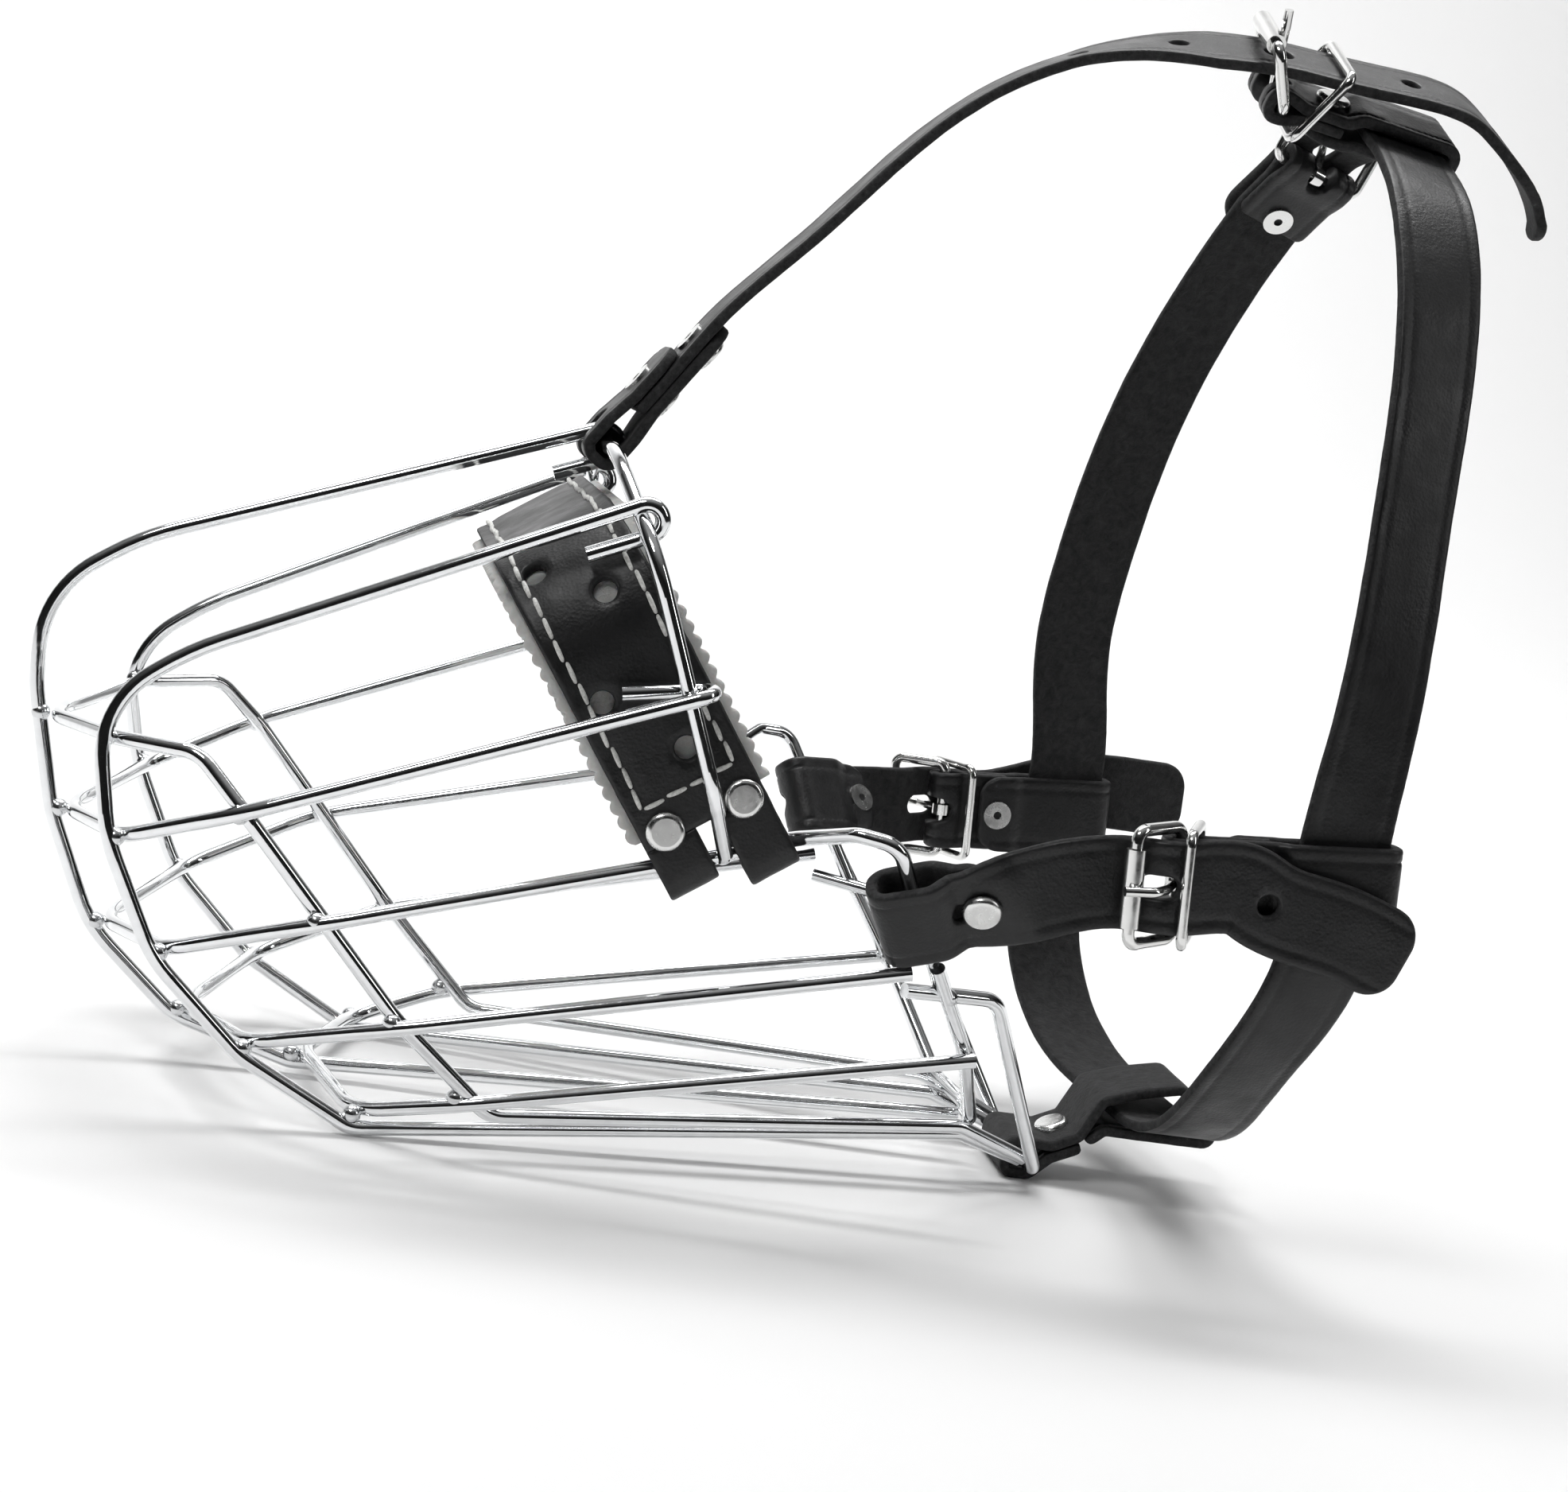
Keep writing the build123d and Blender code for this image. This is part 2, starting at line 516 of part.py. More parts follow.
def forehead_tab():
    """A short leather piece folded round the arch; its two layers grip the forehead strap."""
    hold = R + 0.7 + HALF_T
    outline = FilletPolyline((25, -LAYER), (12, -LAYER), (5, -hold), (-hold, -hold), (-hold, hold),
                             (5, hold), (12, LAYER), (36, LAYER), radius=[5, 5, 2.6, 2.6, 5, 5])
    body = band(FOREHEAD_PLANE * outline, (0, 1, 0))
    wire_slot = FOREHEAD_PLANE.location * Pos(-1, 0, 0) * Box(14, 30, 4.6)
    return body - wire_slot


def forehead_strap():
    path = Spline(at(FOREHEAD_PLANE.location, 10, 0), FOREHEAD_PLANE.from_local_coords((22, 0, 0)),
                  FOREHEAD_PLANE.from_local_coords((37, 0, 0)), *FOREHEAD_RISE, *OVER_TOP, *TOP_TAIL)
    roll = across_of(PLACES["top"]) * (1 if across_of(PLACES["top"]).Y > 0 else -1)
    level = (0, 1, 0)
    turn = stepped((level, level, level, level, mixed(level, roll, 0.2), roll, roll, roll, roll))
    return ribbon(path, turn, 48) - prong_slot("top")


def forehead_rivets():
    made = []
    for along in (15.5, 29.5):
        layers = 3 if along < 24 else 2
        middle = 0 if layers == 3 else LAYER / 2
        spot = Plane(origin=FOREHEAD_PLANE.from_local_coords((along, middle, 0)),
                     x_dir=(0, 1, 0), z_dir=FOREHEAD_PLANE.y_dir)
        made.append(spot.location * rivet(layers * LEATHER_T + 0.2))
    return Compound(made)


# ---- chin strap -----------------------------------------------------------------------------------
def chin_strap():
    """A leather loop round the chin bracket and the bottom of the collar, riveted in between."""
    line = [(73.6, 1.2), (79.5, 1.2), (84.0, 5.6), (90.5, 8.6), (95.5, 13.6), (120.5, 13.6),
            (122.0, 19.0), (112.0, 25.5), (102.0, 23.3), (94.0, 20.4), (90.0, 11.4), (84.0, 8.45),
            (79.5, 8.6), (73.6, 8.6)]
    ring = make_face(FilletPolyline(*line, radius=2.0, close=True))
    sheet = offset(ring, HALF_T) - offset(ring, -HALF_T)
    return extrude(Plane.XZ * sheet, amount=STRAP_W / 2, both=True)


def chin_rivet():
    return Pos(86.9, 0, 8.4) * Rot(0, -25, 0) * rivet(2 * LEATHER_T + 0.2)


# ---- export ---------------------------------------------------------------------------------------
def export(shape, name):
    export_step(shape, f"parts/{name}.step")


export(centre_wire(), "wire_centre")
export(side_wire(-1), "wire_near")
export(side_wire(1), "wire_far")
for number, ring in enumerate((ring_1, ring_2, ring_3, ring_4, ring_5), start=1):
    export(ring(), f"ring_{number}")
export(arch(), "arch")
export(lower_rim(), "lower_rim")
export(chin_bracket(), "chin_bracket")
export(weld_beads(), "weld_beads")
export(pad_leather(), "pad_leather")
export(pad_felt(), "pad_felt")
export(pad_rivets(), "pad_rivets")
export(forehead_tab(), "forehead_tab")
export(forehead_strap(), "forehead_strap")
export(forehead_rivets(), "forehead_rivets")
export(collar_strap(), "collar_strap")
export(PLACES["collar"] * collar_rivet(), "collar_rivet")
export(chin_strap(), "chin_strap")
export(chin_rivet(), "chin_rivet")
export(cheek_strap(-1, "near", NEAR_TAIL), "near_cheek_strap")
export(cheek_strap(1, "far", FAR_TAIL), "far_cheek_strap")
export(cheek_strap_rivet("near", -1), "near_cheek_rivet")
export(cheek_strap_rivet("far", 1), "far_cheek_rivet")
for name, place in PLACES.items():
    export(place * buckle_frame(name), f"{name}_buckle_frame")
    export(place * roller(name), f"{name}_roller")
    export(place * prong(name), f"{name}_prong")
    if name != "collar":
        export(place * tab(name), f"{name}_tab")
        export(place * tab_rivet(), f"{name}_tab_rivet")
        export(place * keeper(name), f"{name}_keeper")
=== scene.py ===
import math
import bmesh
import bpy
import numpy as np
from mathutils import Matrix, Vector, noise
from mathutils.geometry import delaunay_2d_cdt


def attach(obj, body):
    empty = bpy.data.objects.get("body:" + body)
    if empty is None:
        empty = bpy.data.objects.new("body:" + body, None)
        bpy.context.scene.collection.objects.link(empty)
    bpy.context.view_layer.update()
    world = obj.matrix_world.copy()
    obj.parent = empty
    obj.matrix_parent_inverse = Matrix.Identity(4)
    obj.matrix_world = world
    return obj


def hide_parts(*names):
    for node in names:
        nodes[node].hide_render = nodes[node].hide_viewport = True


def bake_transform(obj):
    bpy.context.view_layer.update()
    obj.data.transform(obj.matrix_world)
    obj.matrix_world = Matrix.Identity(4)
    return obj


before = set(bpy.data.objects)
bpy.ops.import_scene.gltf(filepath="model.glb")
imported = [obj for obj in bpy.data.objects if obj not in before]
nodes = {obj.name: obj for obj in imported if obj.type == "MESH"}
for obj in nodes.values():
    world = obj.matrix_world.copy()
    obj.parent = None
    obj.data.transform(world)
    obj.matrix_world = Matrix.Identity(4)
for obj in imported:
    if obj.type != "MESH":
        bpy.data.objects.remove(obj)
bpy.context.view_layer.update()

# All lengths below are in millimetres until a mesh is made.
# Heights are those of the leather's middle line, over or under the middle of a buckle's bar.
WIRE_R = 1.6
STRAP_W = 19.0
LEATHER_T = 2.4
HALF_T = LEATHER_T / 2
FOLD_R = 2.65           # the turn round a buckle's bar
FOLD_CLOSES = -5.5      # how far behind the bar the two layers come together
PINCH = 1.25            # half the spacing of two layers pressed together
CAVITY = 3.0            # half the room in a tab where the collar goes through
OVER_BAR = 5.35
OVER_PINCH = 5.45
UNDER_ROLLER = 1.7
REACH = {"top": 7.0, "near": 11.4, "far": 11.4, "collar": 11.4}    # bar to roller
RIVET_BACK = 13.0       # bar to rivet
TO_COLLAR = {"top": 29.5, "near": 33.7, "far": 30.0}               # bar to collar
FLAP_END = -8.6         # where a tab's inner layer ends, behind the bar
BAR_SLOT = (2.1, 9.0)   # radius and stretch of the slot that a prong comes out of
PRONG_HOLE_R = 2.4
CREASE = 6.75           # the crease lines' distance from a strap's middle
PAD_STITCH = 10.2       # the stitching's distance from the pad's middle


# ---- helpers and paths --------------------------------------------------------------------------
def add_object(name, data):
    obj = bpy.data.objects.new(name, data)
    bpy.context.scene.collection.objects.link(obj)
    return obj


def shade_smooth(mesh):
    mesh.polygons.foreach_set("use_smooth", [True] * len(mesh.polygons))


def unit(v):
    v = np.asarray(v, float)
    return v / np.linalg.norm(v)


def curve_through(points, start=None, end=None, step=0.5):
    """A smooth curve through the points; returns its samples and how far along each one is, 0 to 1."""
    p = np.array(points, float)
    h = np.linalg.norm(np.diff(p, axis=0), axis=1)
    u = np.concatenate([[0.0], np.cumsum(h)])
    n = len(p)

    def end_slope(uu, pp):
        total = np.zeros(p.shape[1])
        for i in range(4):
            others = [k for k in range(4) if k != i]
            below = math.prod(uu[i] - uu[k] for k in others)
            above = sum(math.prod(uu[0] - uu[k] for k in others if k != j) for j in others)
            total += pp[i] * above / below
        return total

    first = unit(start) if start is not None else end_slope(u[:4], p[:4])
    last = unit(end) if end is not None else end_slope(u[::-1][:4], p[::-1][:4])
    a = np.zeros((n, n))
    b = np.zeros(p.shape)
    a[0, 0] = a[-1, -1] = 1
    b[0], b[-1] = first, last
    for i in range(1, n - 1):
        a[i, i - 1] = 1 / h[i - 1]
        a[i, i] = 2 / h[i - 1] + 2 / h[i]
        a[i, i + 1] = 1 / h[i]
        b[i] = 3 * ((p[i] - p[i - 1]) / h[i - 1] ** 2 + (p[i + 1] - p[i]) / h[i] ** 2)
    m = np.linalg.solve(a, b)
    t = np.linspace(0, u[-1], int(u[-1] / step) + 2)
    k = np.clip(np.searchsorted(u, t, side="right") - 1, 0, n - 2)
    x = ((t - u[k]) / h[k])[:, None]
    hk = h[k][:, None]
    out = (p[k] * (2 * x**3 - 3 * x**2 + 1) + m[k] * hk * (x**3 - 2 * x**2 + x)
           + p[k + 1] * (3 * x**2 - 2 * x**3) + m[k + 1] * hk * (x**3 - x**2))
    return out, t / u[-1]


def filleted(points, radii, step=0.25):
    """Straight runs joined by arcs."""
    p = [np.array(q, float) for q in points]
    out = [p[0]]
    for i, r in enumerate(radii, start=1):
        d1, d2 = unit(p[i - 1] - p[i]), unit(p[i + 1] - p[i])
        angle = math.acos(max(-1, min(1, float(d1 @ d2))))
        if math.pi - angle < 0.02:
            out.append(p[i])
            continue
        centre = p[i] + unit(d1 + d2) * r / math.sin(angle / 2)
        a = p[i] + d1 * r / math.tan(angle / 2) - centre
        b = p[i] + d2 * r / math.tan(angle / 2) - centre
        sweep = math.pi - angle
        steps = max(3, int(sweep * r / step))
        for k in range(steps + 1):
            w = k / steps
            out.append(centre + (a * math.sin((1 - w) * sweep) + b * math.sin(w * sweep)) / math.sin(sweep))
    out.append(p[-1])
    return np.array(out)


class Path:
    """A strap's middle line with its width direction; out is +1 or -1 for which face is the grain."""

    def __init__(self, points, across, out):
        points = np.asarray(points, float)
        across = np.asarray(across, float)
        if across.ndim == 1:
            across = np.tile(across, (len(points), 1))
        keep = np.concatenate([[True], np.linalg.norm(np.diff(points, axis=0), axis=1) > 0.02])
        points, across = points[keep], across[keep]
        s = np.concatenate([[0], np.cumsum(np.linalg.norm(np.diff(points, axis=0), axis=1))])
        self.length = s[-1]
        self.s = np.linspace(0, s[-1], int(s[-1] / 0.25) + 2)
        self.p = np.stack([np.interp(self.s, s, points[:, i]) for i in range(3)], 1)
        w = np.stack([np.interp(self.s, s, across[:, i]) for i in range(3)], 1)
        t = np.gradient(self.p, self.s, axis=0)
        box = np.ones(5) / 5
        t = np.stack([np.convolve(np.pad(t[:, i], 2, mode="edge"), box, "valid") for i in range(3)], 1)
        self.t = t / np.linalg.norm(t, axis=1)[:, None]
        w = w - self.t * (w * self.t).sum(1)[:, None]
        self.w = w / np.linalg.norm(w, axis=1)[:, None]
        self.n = np.cross(self.t, self.w) * out
        bend = np.linalg.norm(np.gradient(self.t, self.s, axis=0), axis=1)
        self.bend = np.convolve(bend, np.ones(9) / 9, "same")

    def at(self, s, v=0.0, h=0.0):
        s, v, h = np.broadcast_arrays(np.asarray(s, float), v, h)
        c = np.clip(s, 0, self.length)
        get = lambda q: np.stack([np.interp(c, self.s, q[:, i]) for i in range(3)], -1)
        t = get(self.t)
        return get(self.p) + t * (s - c)[..., None] + get(self.w) * v[..., None] + get(self.n) * h[..., None]

    def nearest(self, point):
        """How far along the path the nearest place to a point is."""
        return float(self.s[np.argmin(np.linalg.norm(self.p - np.asarray(point, float), axis=1))])

    def stations(self, coarse=1.5, fine=0.4):
        out = [0.0]
        while out[-1] < self.length:
            k = np.interp(out[-1], self.s, self.bend)
            out.append(out[-1] + min(coarse, max(fine, 0.16 / max(k, 1e-3))))
        return np.array(out)


# ---- leather ------------------------------------------------------------------------------------
def rounded_strip(length, width, start_r, end_r, step=0.7, tongue=0.0, start_s=0.0, wander=0.12, seed=0.0):
    """A strip's outline in (along, across), with rounded corners; a tongue narrows its end."""
    w = width / 2
    pts = []

    def line(a, b):
        n = max(1, int(math.dist(a, b) / step))
        pts.extend([(a[0] + (b[0] - a[0]) * i / n, a[1] + (b[1] - a[1]) * i / n) for i in range(n)])

    def arc(cx, cy, r, a0, a1):
        n = max(3, int(abs(a1 - a0) * r / step))
        pts.extend([(cx + r * math.cos(a0 + (a1 - a0) * i / n), cy + r * math.sin(a0 + (a1 - a0) * i / n))
                    for i in range(n)])

    e = length - tongue
    q = math.pi / 2
    line((start_s + start_r, -w), (e - end_r, -w))
    if tongue:
        line((e - end_r, -w), (length - 3, -w * 0.42))
        arc(length - 3.6, 0, w * 0.55, -q * 0.75, q * 0.75)
        line((length - 3, w * 0.42), (e - end_r, w))
    else:
        arc(e - end_r, -w + end_r, end_r, -q, 0)
        line((e, -w + end_r), (e, w - end_r))
        arc(e - end_r, w - end_r, end_r, 0, q)
    line((e - end_r, w), (start_s + start_r, w))
    arc(start_s + start_r, w - start_r, start_r, q, 2 * q)
    line((start_s, w - start_r), (start_s, -w + start_r))
    arc(start_s + start_r, -w + start_r, start_r, 2 * q, 3 * q)
    pts = np.array(pts)
    for i, (s, v) in enumerate(pts):
        k = wander * noise.noise(Vector((s * 0.11, v * 0.11, seed)))
        k += wander * 0.35 * noise.noise(Vector((s * 0.6, v * 0.6, seed + 5)))
        pts[i, 1] += k * (1 if v > 0 else -1)
    return pts


def circle(s, v, r, n=26, stretch=0.0):
    """A hole's outline; stretch makes it a slot along the strap."""
    out = []
    for i in range(n):
        a = -2 * math.pi * i / n
        out.append((s + r * math.cos(a) + math.copysign(stretch / 2, math.cos(a)), v + r * math.sin(a)))
    return np.array(out)


def bar_slot(s):
    return circle(s, 0, BAR_SLOT[0], 30, BAR_SLOT[1])


def prong_hole(s, stretch=3.0):
    return circle(s, 0, PRONG_HOLE_R, 30, stretch)


def signed_area(loop):
    x, y = loop[:, 0], loop[:, 1]
    return 0.5 * float(np.sum(x * np.roll(y, -1) - y * np.roll(x, -1)))


def shrunk(loop, d):
    """The loop moved by d towards the material: in from an outline, out from a hole."""
    nxt, prv = np.roll(loop, -1, 0), np.roll(loop, 1, 0)
    t = nxt - prv
    t /= np.linalg.norm(t, axis=1)[:, None] + 1e-9
    return loop + np.stack([-t[:, 1], t[:, 0]], 1) * d


def inside(points, loop):
    x, y = points[:, 0][:, None], points[:, 1][:, None]
    x1, y1 = loop[:, 0][None], loop[:, 1][None]
    x2, y2 = np.roll(loop[:, 0], -1)[None], np.roll(loop[:, 1], -1)[None]
    cross = ((y1 > y) != (y2 > y)) & (x < (x2 - x1) * (y - y1) / (y2 - y1 + 1e-12) + x1)
    return cross.sum(1) % 2 == 1


def distance(points, loop):
    out = np.full(len(points), 1e9)
    for i in range(0, len(points), 2000):
        part = points[i:i + 2000]
        out[i:i + 2000] = np.sqrt(((part[:, None] - loop[None]) ** 2).sum(2)).min(1)
    return out


def fan(polygon):
    """The polygon's triangles, all from its first corner."""
    return [(polygon[0], polygon[i], polygon[i + 1]) for i in range(1, len(polygon) - 1)]


def cut_pattern(path, outline, holes, depth, lanes, coarse):
    """The flat sheet in triangles; level counts the rings in from a cut edge, the last is the inside."""
    if signed_area(outline) < 0:
        outline = outline[::-1]
    holes = [h if signed_area(h) < 0 else h[::-1] for h in holes]
    inner_level = len(depth)
    margin = depth[-1] + 0.45
    pts, edges, level = [], [], []
    rims = []
    for loop in [outline, *holes]:
        for k, d in enumerate(depth):
            ring = shrunk(loop, d) if d else loop
            base = len(pts)
            pts.extend(ring.tolist())
            level.extend([k] * len(ring))
            edges.extend([(base + i, base + (i + 1) % len(ring)) for i in range(len(ring))])
            if k == 0:
                rims.append(range(base, base + len(ring)))
    s0, s1 = outline[:, 0].min(), outline[:, 0].max()
    st = path.stations(coarse)
    st = np.concatenate([np.arange(s0, 0, coarse), st, np.arange(path.length, s1, coarse)])
    fill = np.array([(s + 0.3 * coarse * (j % 2), v) for s in st for j, v in enumerate(lanes)])
    ok = inside(fill, outline) & (distance(fill, outline) > margin)
    for h in holes:
        ok &= ~inside(fill, h) & (distance(fill, h) > margin)
    fill = fill[ok]
    pts.extend(fill.tolist())
    level.extend([inner_level] * len(fill))
    verts, _, tris, orig, _, _ = delaunay_2d_cdt([Vector(q) for q in pts], edges, [], 0, 1e-5)
    flat = np.array([(v.x, v.y) for v in verts])
    lvl = np.array([min([level[i] for i in o]) if o else inner_level for o in orig])
    tris = [f for t in tris for f in fan(t)]
    mid = np.array([(flat[list(t)].sum(0) / 3) for t in tris])
    good = inside(mid, outline)
    for h in holes:
        good &= ~inside(mid, h)
    tris = [t for t, g in zip(tris, good) if g]
    find = {}
    for new, old in enumerate(orig):
        for i in old:
            find[i] = new
    rims = [[find[i] for i in ring] for ring in rims]
    return flat, lvl, tris, rims


def sheet(name, path, outline, holes, mats, lanes, thick=LEATHER_T, rim=0.75, grain=None, flesh=None,
          coarse=1.5):
    """A sheet cut to the outline, laid along the path: grain face, flesh face and a rounded cut edge."""
    depth = [0.0, rim * 0.35, rim]
    edge_drop = rim * 0.8
    rise = [math.sqrt(max(0, 1 - (1 - d / rim) ** 2)) * edge_drop for d in depth]
    flat, lvl, tris, rims = cut_pattern(path, outline, holes, depth, np.array(lanes), coarse)
    n = len(flat)
    height = np.array([thick / 2 - edge_drop + rise[k] if k < len(depth) else thick / 2 for k in lvl])
    top_h, low_h = height.copy(), height.copy()
    inner = lvl >= len(depth) - 1
    if grain:
        top_h[inner] += grain(flat[inner])
    if flesh:
        low_h[inner] += flesh(flat[inner])
    top = path.at(flat[:, 0], flat[:, 1], top_h)
    low = path.at(flat[:, 0], flat[:, 1], -low_h)
    faces, which = [], []
    for t in tris:
        is_rim = int(max(lvl[i] for i in t) <= 1) or int(sum(lvl[i] for i in t) <= 3)
        faces.append(t)
        which.append(2 if is_rim else 0)
        faces.append(tuple(n + i for i in reversed(t)))
        which.append(2 if is_rim else 1)
    for ids in rims:
        for i in range(len(ids)):
            a, b = ids[i], ids[(i + 1) % len(ids)]
            if a != b:
                faces.append((b, a, n + a, n + b))
                which.append(2)
    mesh = bpy.data.meshes.new(name)
    mesh.from_pydata([tuple(q) for q in np.concatenate([top, low]) / 1000], [], faces)
    mesh.polygons.foreach_set("material_index", which)
    uv = mesh.uv_layers.new(name="UVMap")
    both = np.concatenate([flat, flat]) / 1000
    loops = np.zeros(len(mesh.loops), np.int32)
    mesh.loops.foreach_get("vertex_index", loops)
    uv.data.foreach_set("uv", both[loops].ravel())
    for m in mats:
        mesh.materials.append(m)
    obj = add_object(name, mesh)
    bm = bmesh.new()
    bm.from_mesh(mesh)
    loose = [v for v in bm.verts if not v.link_faces]
    bmesh.ops.delete(bm, geom=loose, context="VERTS")
    bmesh.ops.recalc_face_normals(bm, faces=bm.faces)
    bm.to_mesh(mesh)
    bm.free()
    shade_smooth(mesh)
    mesh.update()
    return obj


# Rows of points across a strap, close together at the two crease lines.
STRAP_LANES = [-8.3, -7.5, -7.05, -6.75, -6.45, -6.0, -5.0, -3.4, -1.7, 0,
               1.7, 3.4, 5.0, 6.0, 6.45, 6.75, 7.05, 7.5, 8.3]


def grain_relief(seed, creases=True):
    """Crease lines near both long edges and a slight unevenness of the hide."""
    def relief(q):
        out = np.array([0.11 * noise.noise(Vector((s * 0.09, v * 0.12, seed)))
                        + 0.05 * noise.noise(Vector((s * 0.35, v * 0.35, seed + 3))) for s, v in q])
        if creases:
            line = np.abs(np.abs(q[:, 1]) - CREASE)
            out -= 0.26 * np.exp(-((line / 0.28) ** 2))
        return out
    return relief


def flesh_relief(seed):
    def relief(q):
        return np.array([0.07 * noise.noise(Vector((s * 0.3, v * 0.3, seed + 9))) for s, v in q])
    return relief


# ---- materials ----------------------------------------------------------------------------------
def material(name):
    m = bpy.data.materials.new(name)
    m.use_nodes = True
    nt = m.node_tree
    bsdf = nt.nodes["Principled BSDF"]
    return m, nt, bsdf


def texture(nt, kind, scale, coord, **sockets):
    node = nt.nodes.new(kind)
    node.inputs["Scale"].default_value = scale
    for key, value in sockets.items():
        node.inputs[key].default_value = value
    nt.links.new(coord, node.inputs["Vector"])
    return node


def ramp(nt, source, stops):
    node = nt.nodes.new("ShaderNodeValToRGB")
    el = node.color_ramp.elements
    while len(el) < len(stops):
        el.new(0.5)
    for e, (pos, value) in zip(el, stops):
        e.position = pos
        e.color = (*value, 1) if isinstance(value, tuple) else (value, value, value, 1)
    nt.links.new(source, node.inputs["Fac"])
    return node.outputs["Color"]


def bump(nt, bsdf, layers):
    """Bump layers, each (height socket, strength, distance in metres)."""
    last = None
    for height, strength, dist in layers:
        node = nt.nodes.new("ShaderNodeBump")
        node.inputs["Strength"].default_value = strength
        node.inputs["Distance"].default_value = dist
        nt.links.new(height, node.inputs["Height"])
        if last:
            nt.links.new(last, node.inputs["Normal"])
        last = node.outputs["Normal"]
    nt.links.new(last, bsdf.inputs["Normal"])


def coords(nt, stretch=None, which="Object"):
    node = nt.nodes.new("ShaderNodeTexCoord")
    out = node.outputs[which]
    if stretch:
        mapping = nt.nodes.new("ShaderNodeMapping")
        mapping.inputs["Scale"].default_value = stretch
        nt.links.new(out, mapping.inputs["Vector"])
        out = mapping.outputs["Vector"]
    return out


def leather_grain():
    m, nt, b = material("leather_grain")
    c = coords(nt)
    pores = texture(nt, "ShaderNodeTexVoronoi", 1500, c)
    fine = texture(nt, "ShaderNodeTexNoise", 900, c, Detail=6, Roughness=0.6)
    folds = texture(nt, "ShaderNodeTexNoise", 120, c, Detail=5, Roughness=0.55)
    worn = texture(nt, "ShaderNodeTexNoise", 45, c, Detail=8, Roughness=0.65)
    tone = ramp(nt, worn.outputs["Fac"], [(0.35, (0.0045, 0.0045, 0.005)), (0.7, (0.012, 0.012, 0.0127))])
    nt.links.new(tone, b.inputs["Base Color"])
    shine = ramp(nt, folds.outputs["Fac"], [(0.3, 0.36), (0.75, 0.56)])
    nt.links.new(shine, b.inputs["Roughness"])
    b.inputs["Specular IOR Level"].default_value = 0.42
    b.inputs["Coat Weight"].default_value = 0.08
    b.inputs["Coat Roughness"].default_value = 0.28
    bump(nt, b, [(pores.outputs["Distance"], 0.35, 0.00012), (fine.outputs["Fac"], 0.5, 0.00012),
                 (folds.outputs["Fac"], 0.45, 0.0005)])
    return m


def leather_flesh():
    m, nt, b = material("leather_flesh")
    uv = coords(nt, (1, 0.35, 1), "UV")
    c = coords(nt)
    fibre = texture(nt, "ShaderNodeTexNoise", 1400, uv, Detail=8, Roughness=0.75)
    tufts = texture(nt, "ShaderNodeTexNoise", 420, c, Detail=8, Roughness=0.75, Distortion=0.6)
    tone = ramp(nt, tufts.outputs["Fac"], [(0.32, (0.006, 0.006, 0.0065)), (0.72, (0.034, 0.034, 0.035))])
    nt.links.new(tone, b.inputs["Base Color"])
    b.inputs["Roughness"].default_value = 0.92
    b.inputs["Specular IOR Level"].default_value = 0.22
    b.inputs["Sheen Weight"].default_value = 0.12
    b.inputs["Sheen Roughness"].default_value = 0.6
    bump(nt, b, [(fibre.outputs["Fac"], 0.6, 0.0003), (tufts.outputs["Fac"], 0.8, 0.0006)])
    return m


def leather_edge():
    m, nt, b = material("leather_edge")
    c = coords(nt)
    fray = texture(nt, "ShaderNodeTexNoise", 700, c, Detail=8, Roughness=0.7)
    tone = ramp(nt, fray.outputs["Fac"], [(0.35, (0.012, 0.012, 0.0125)), (0.62, (0.035, 0.035, 0.036)),
                                          (0.78, (0.1, 0.1, 0.1))])
    nt.links.new(tone, b.inputs["Base Color"])
    b.inputs["Roughness"].default_value = 0.8
    b.inputs["Specular IOR Level"].default_value = 0.3
    bump(nt, b, [(fray.outputs["Fac"], 0.8, 0.0004)])
    return m


def plated(name, tone, rough, smear, scale=260):
    """Plated metal with faint smears and a little waviness in the plate."""
    m, nt, b = material(name)
    c = coords(nt)
    smears = texture(nt, "ShaderNodeTexNoise", scale, c, Detail=7, Roughness=0.6, Distortion=0.4)
    wave = texture(nt, "ShaderNodeTexNoise", 90, c, Detail=3, Roughness=0.5)
    dark = tuple(v * 0.9 for v in tone)
    colour = ramp(nt, smears.outputs["Fac"], [(0.3, dark), (0.7, tone)])
    nt.links.new(colour, b.inputs["Base Color"])
    b.inputs["Metallic"].default_value = 1.0
    gloss = ramp(nt, smears.outputs["Fac"], [(0.35, rough), (0.8, rough + smear)])
    nt.links.new(gloss, b.inputs["Roughness"])
    bump(nt, b, [(wave.outputs["Fac"], 0.12, 0.0004), (smears.outputs["Fac"], 0.05, 0.0001)])
    return m


def felt_cloth():
    m, nt, b = material("felt")
    c = coords(nt)
    wool = texture(nt, "ShaderNodeTexNoise", 900, c, Detail=9, Roughness=0.8, Distortion=0.8)
    clump = texture(nt, "ShaderNodeTexNoise", 170, c, Detail=6, Roughness=0.6)
    tone = ramp(nt, clump.outputs["Fac"], [(0.3, (0.6, 0.6, 0.58)), (0.7, (0.82, 0.82, 0.8))])
    nt.links.new(tone, b.inputs["Base Color"])
    b.inputs["Roughness"].default_value = 0.97
    b.inputs["Specular IOR Level"].default_value = 0.1
    b.inputs["Sheen Weight"].default_value = 0.35
    b.inputs["Sheen Roughness"].default_value = 0.7
    b.inputs["Subsurface Weight"].default_value = 0.12
    b.inputs["Subsurface Scale"].default_value = 0.001
    bump(nt, b, [(clump.outputs["Fac"], 0.5, 0.0008), (wool.outputs["Fac"], 0.9, 0.0006)])
    return m


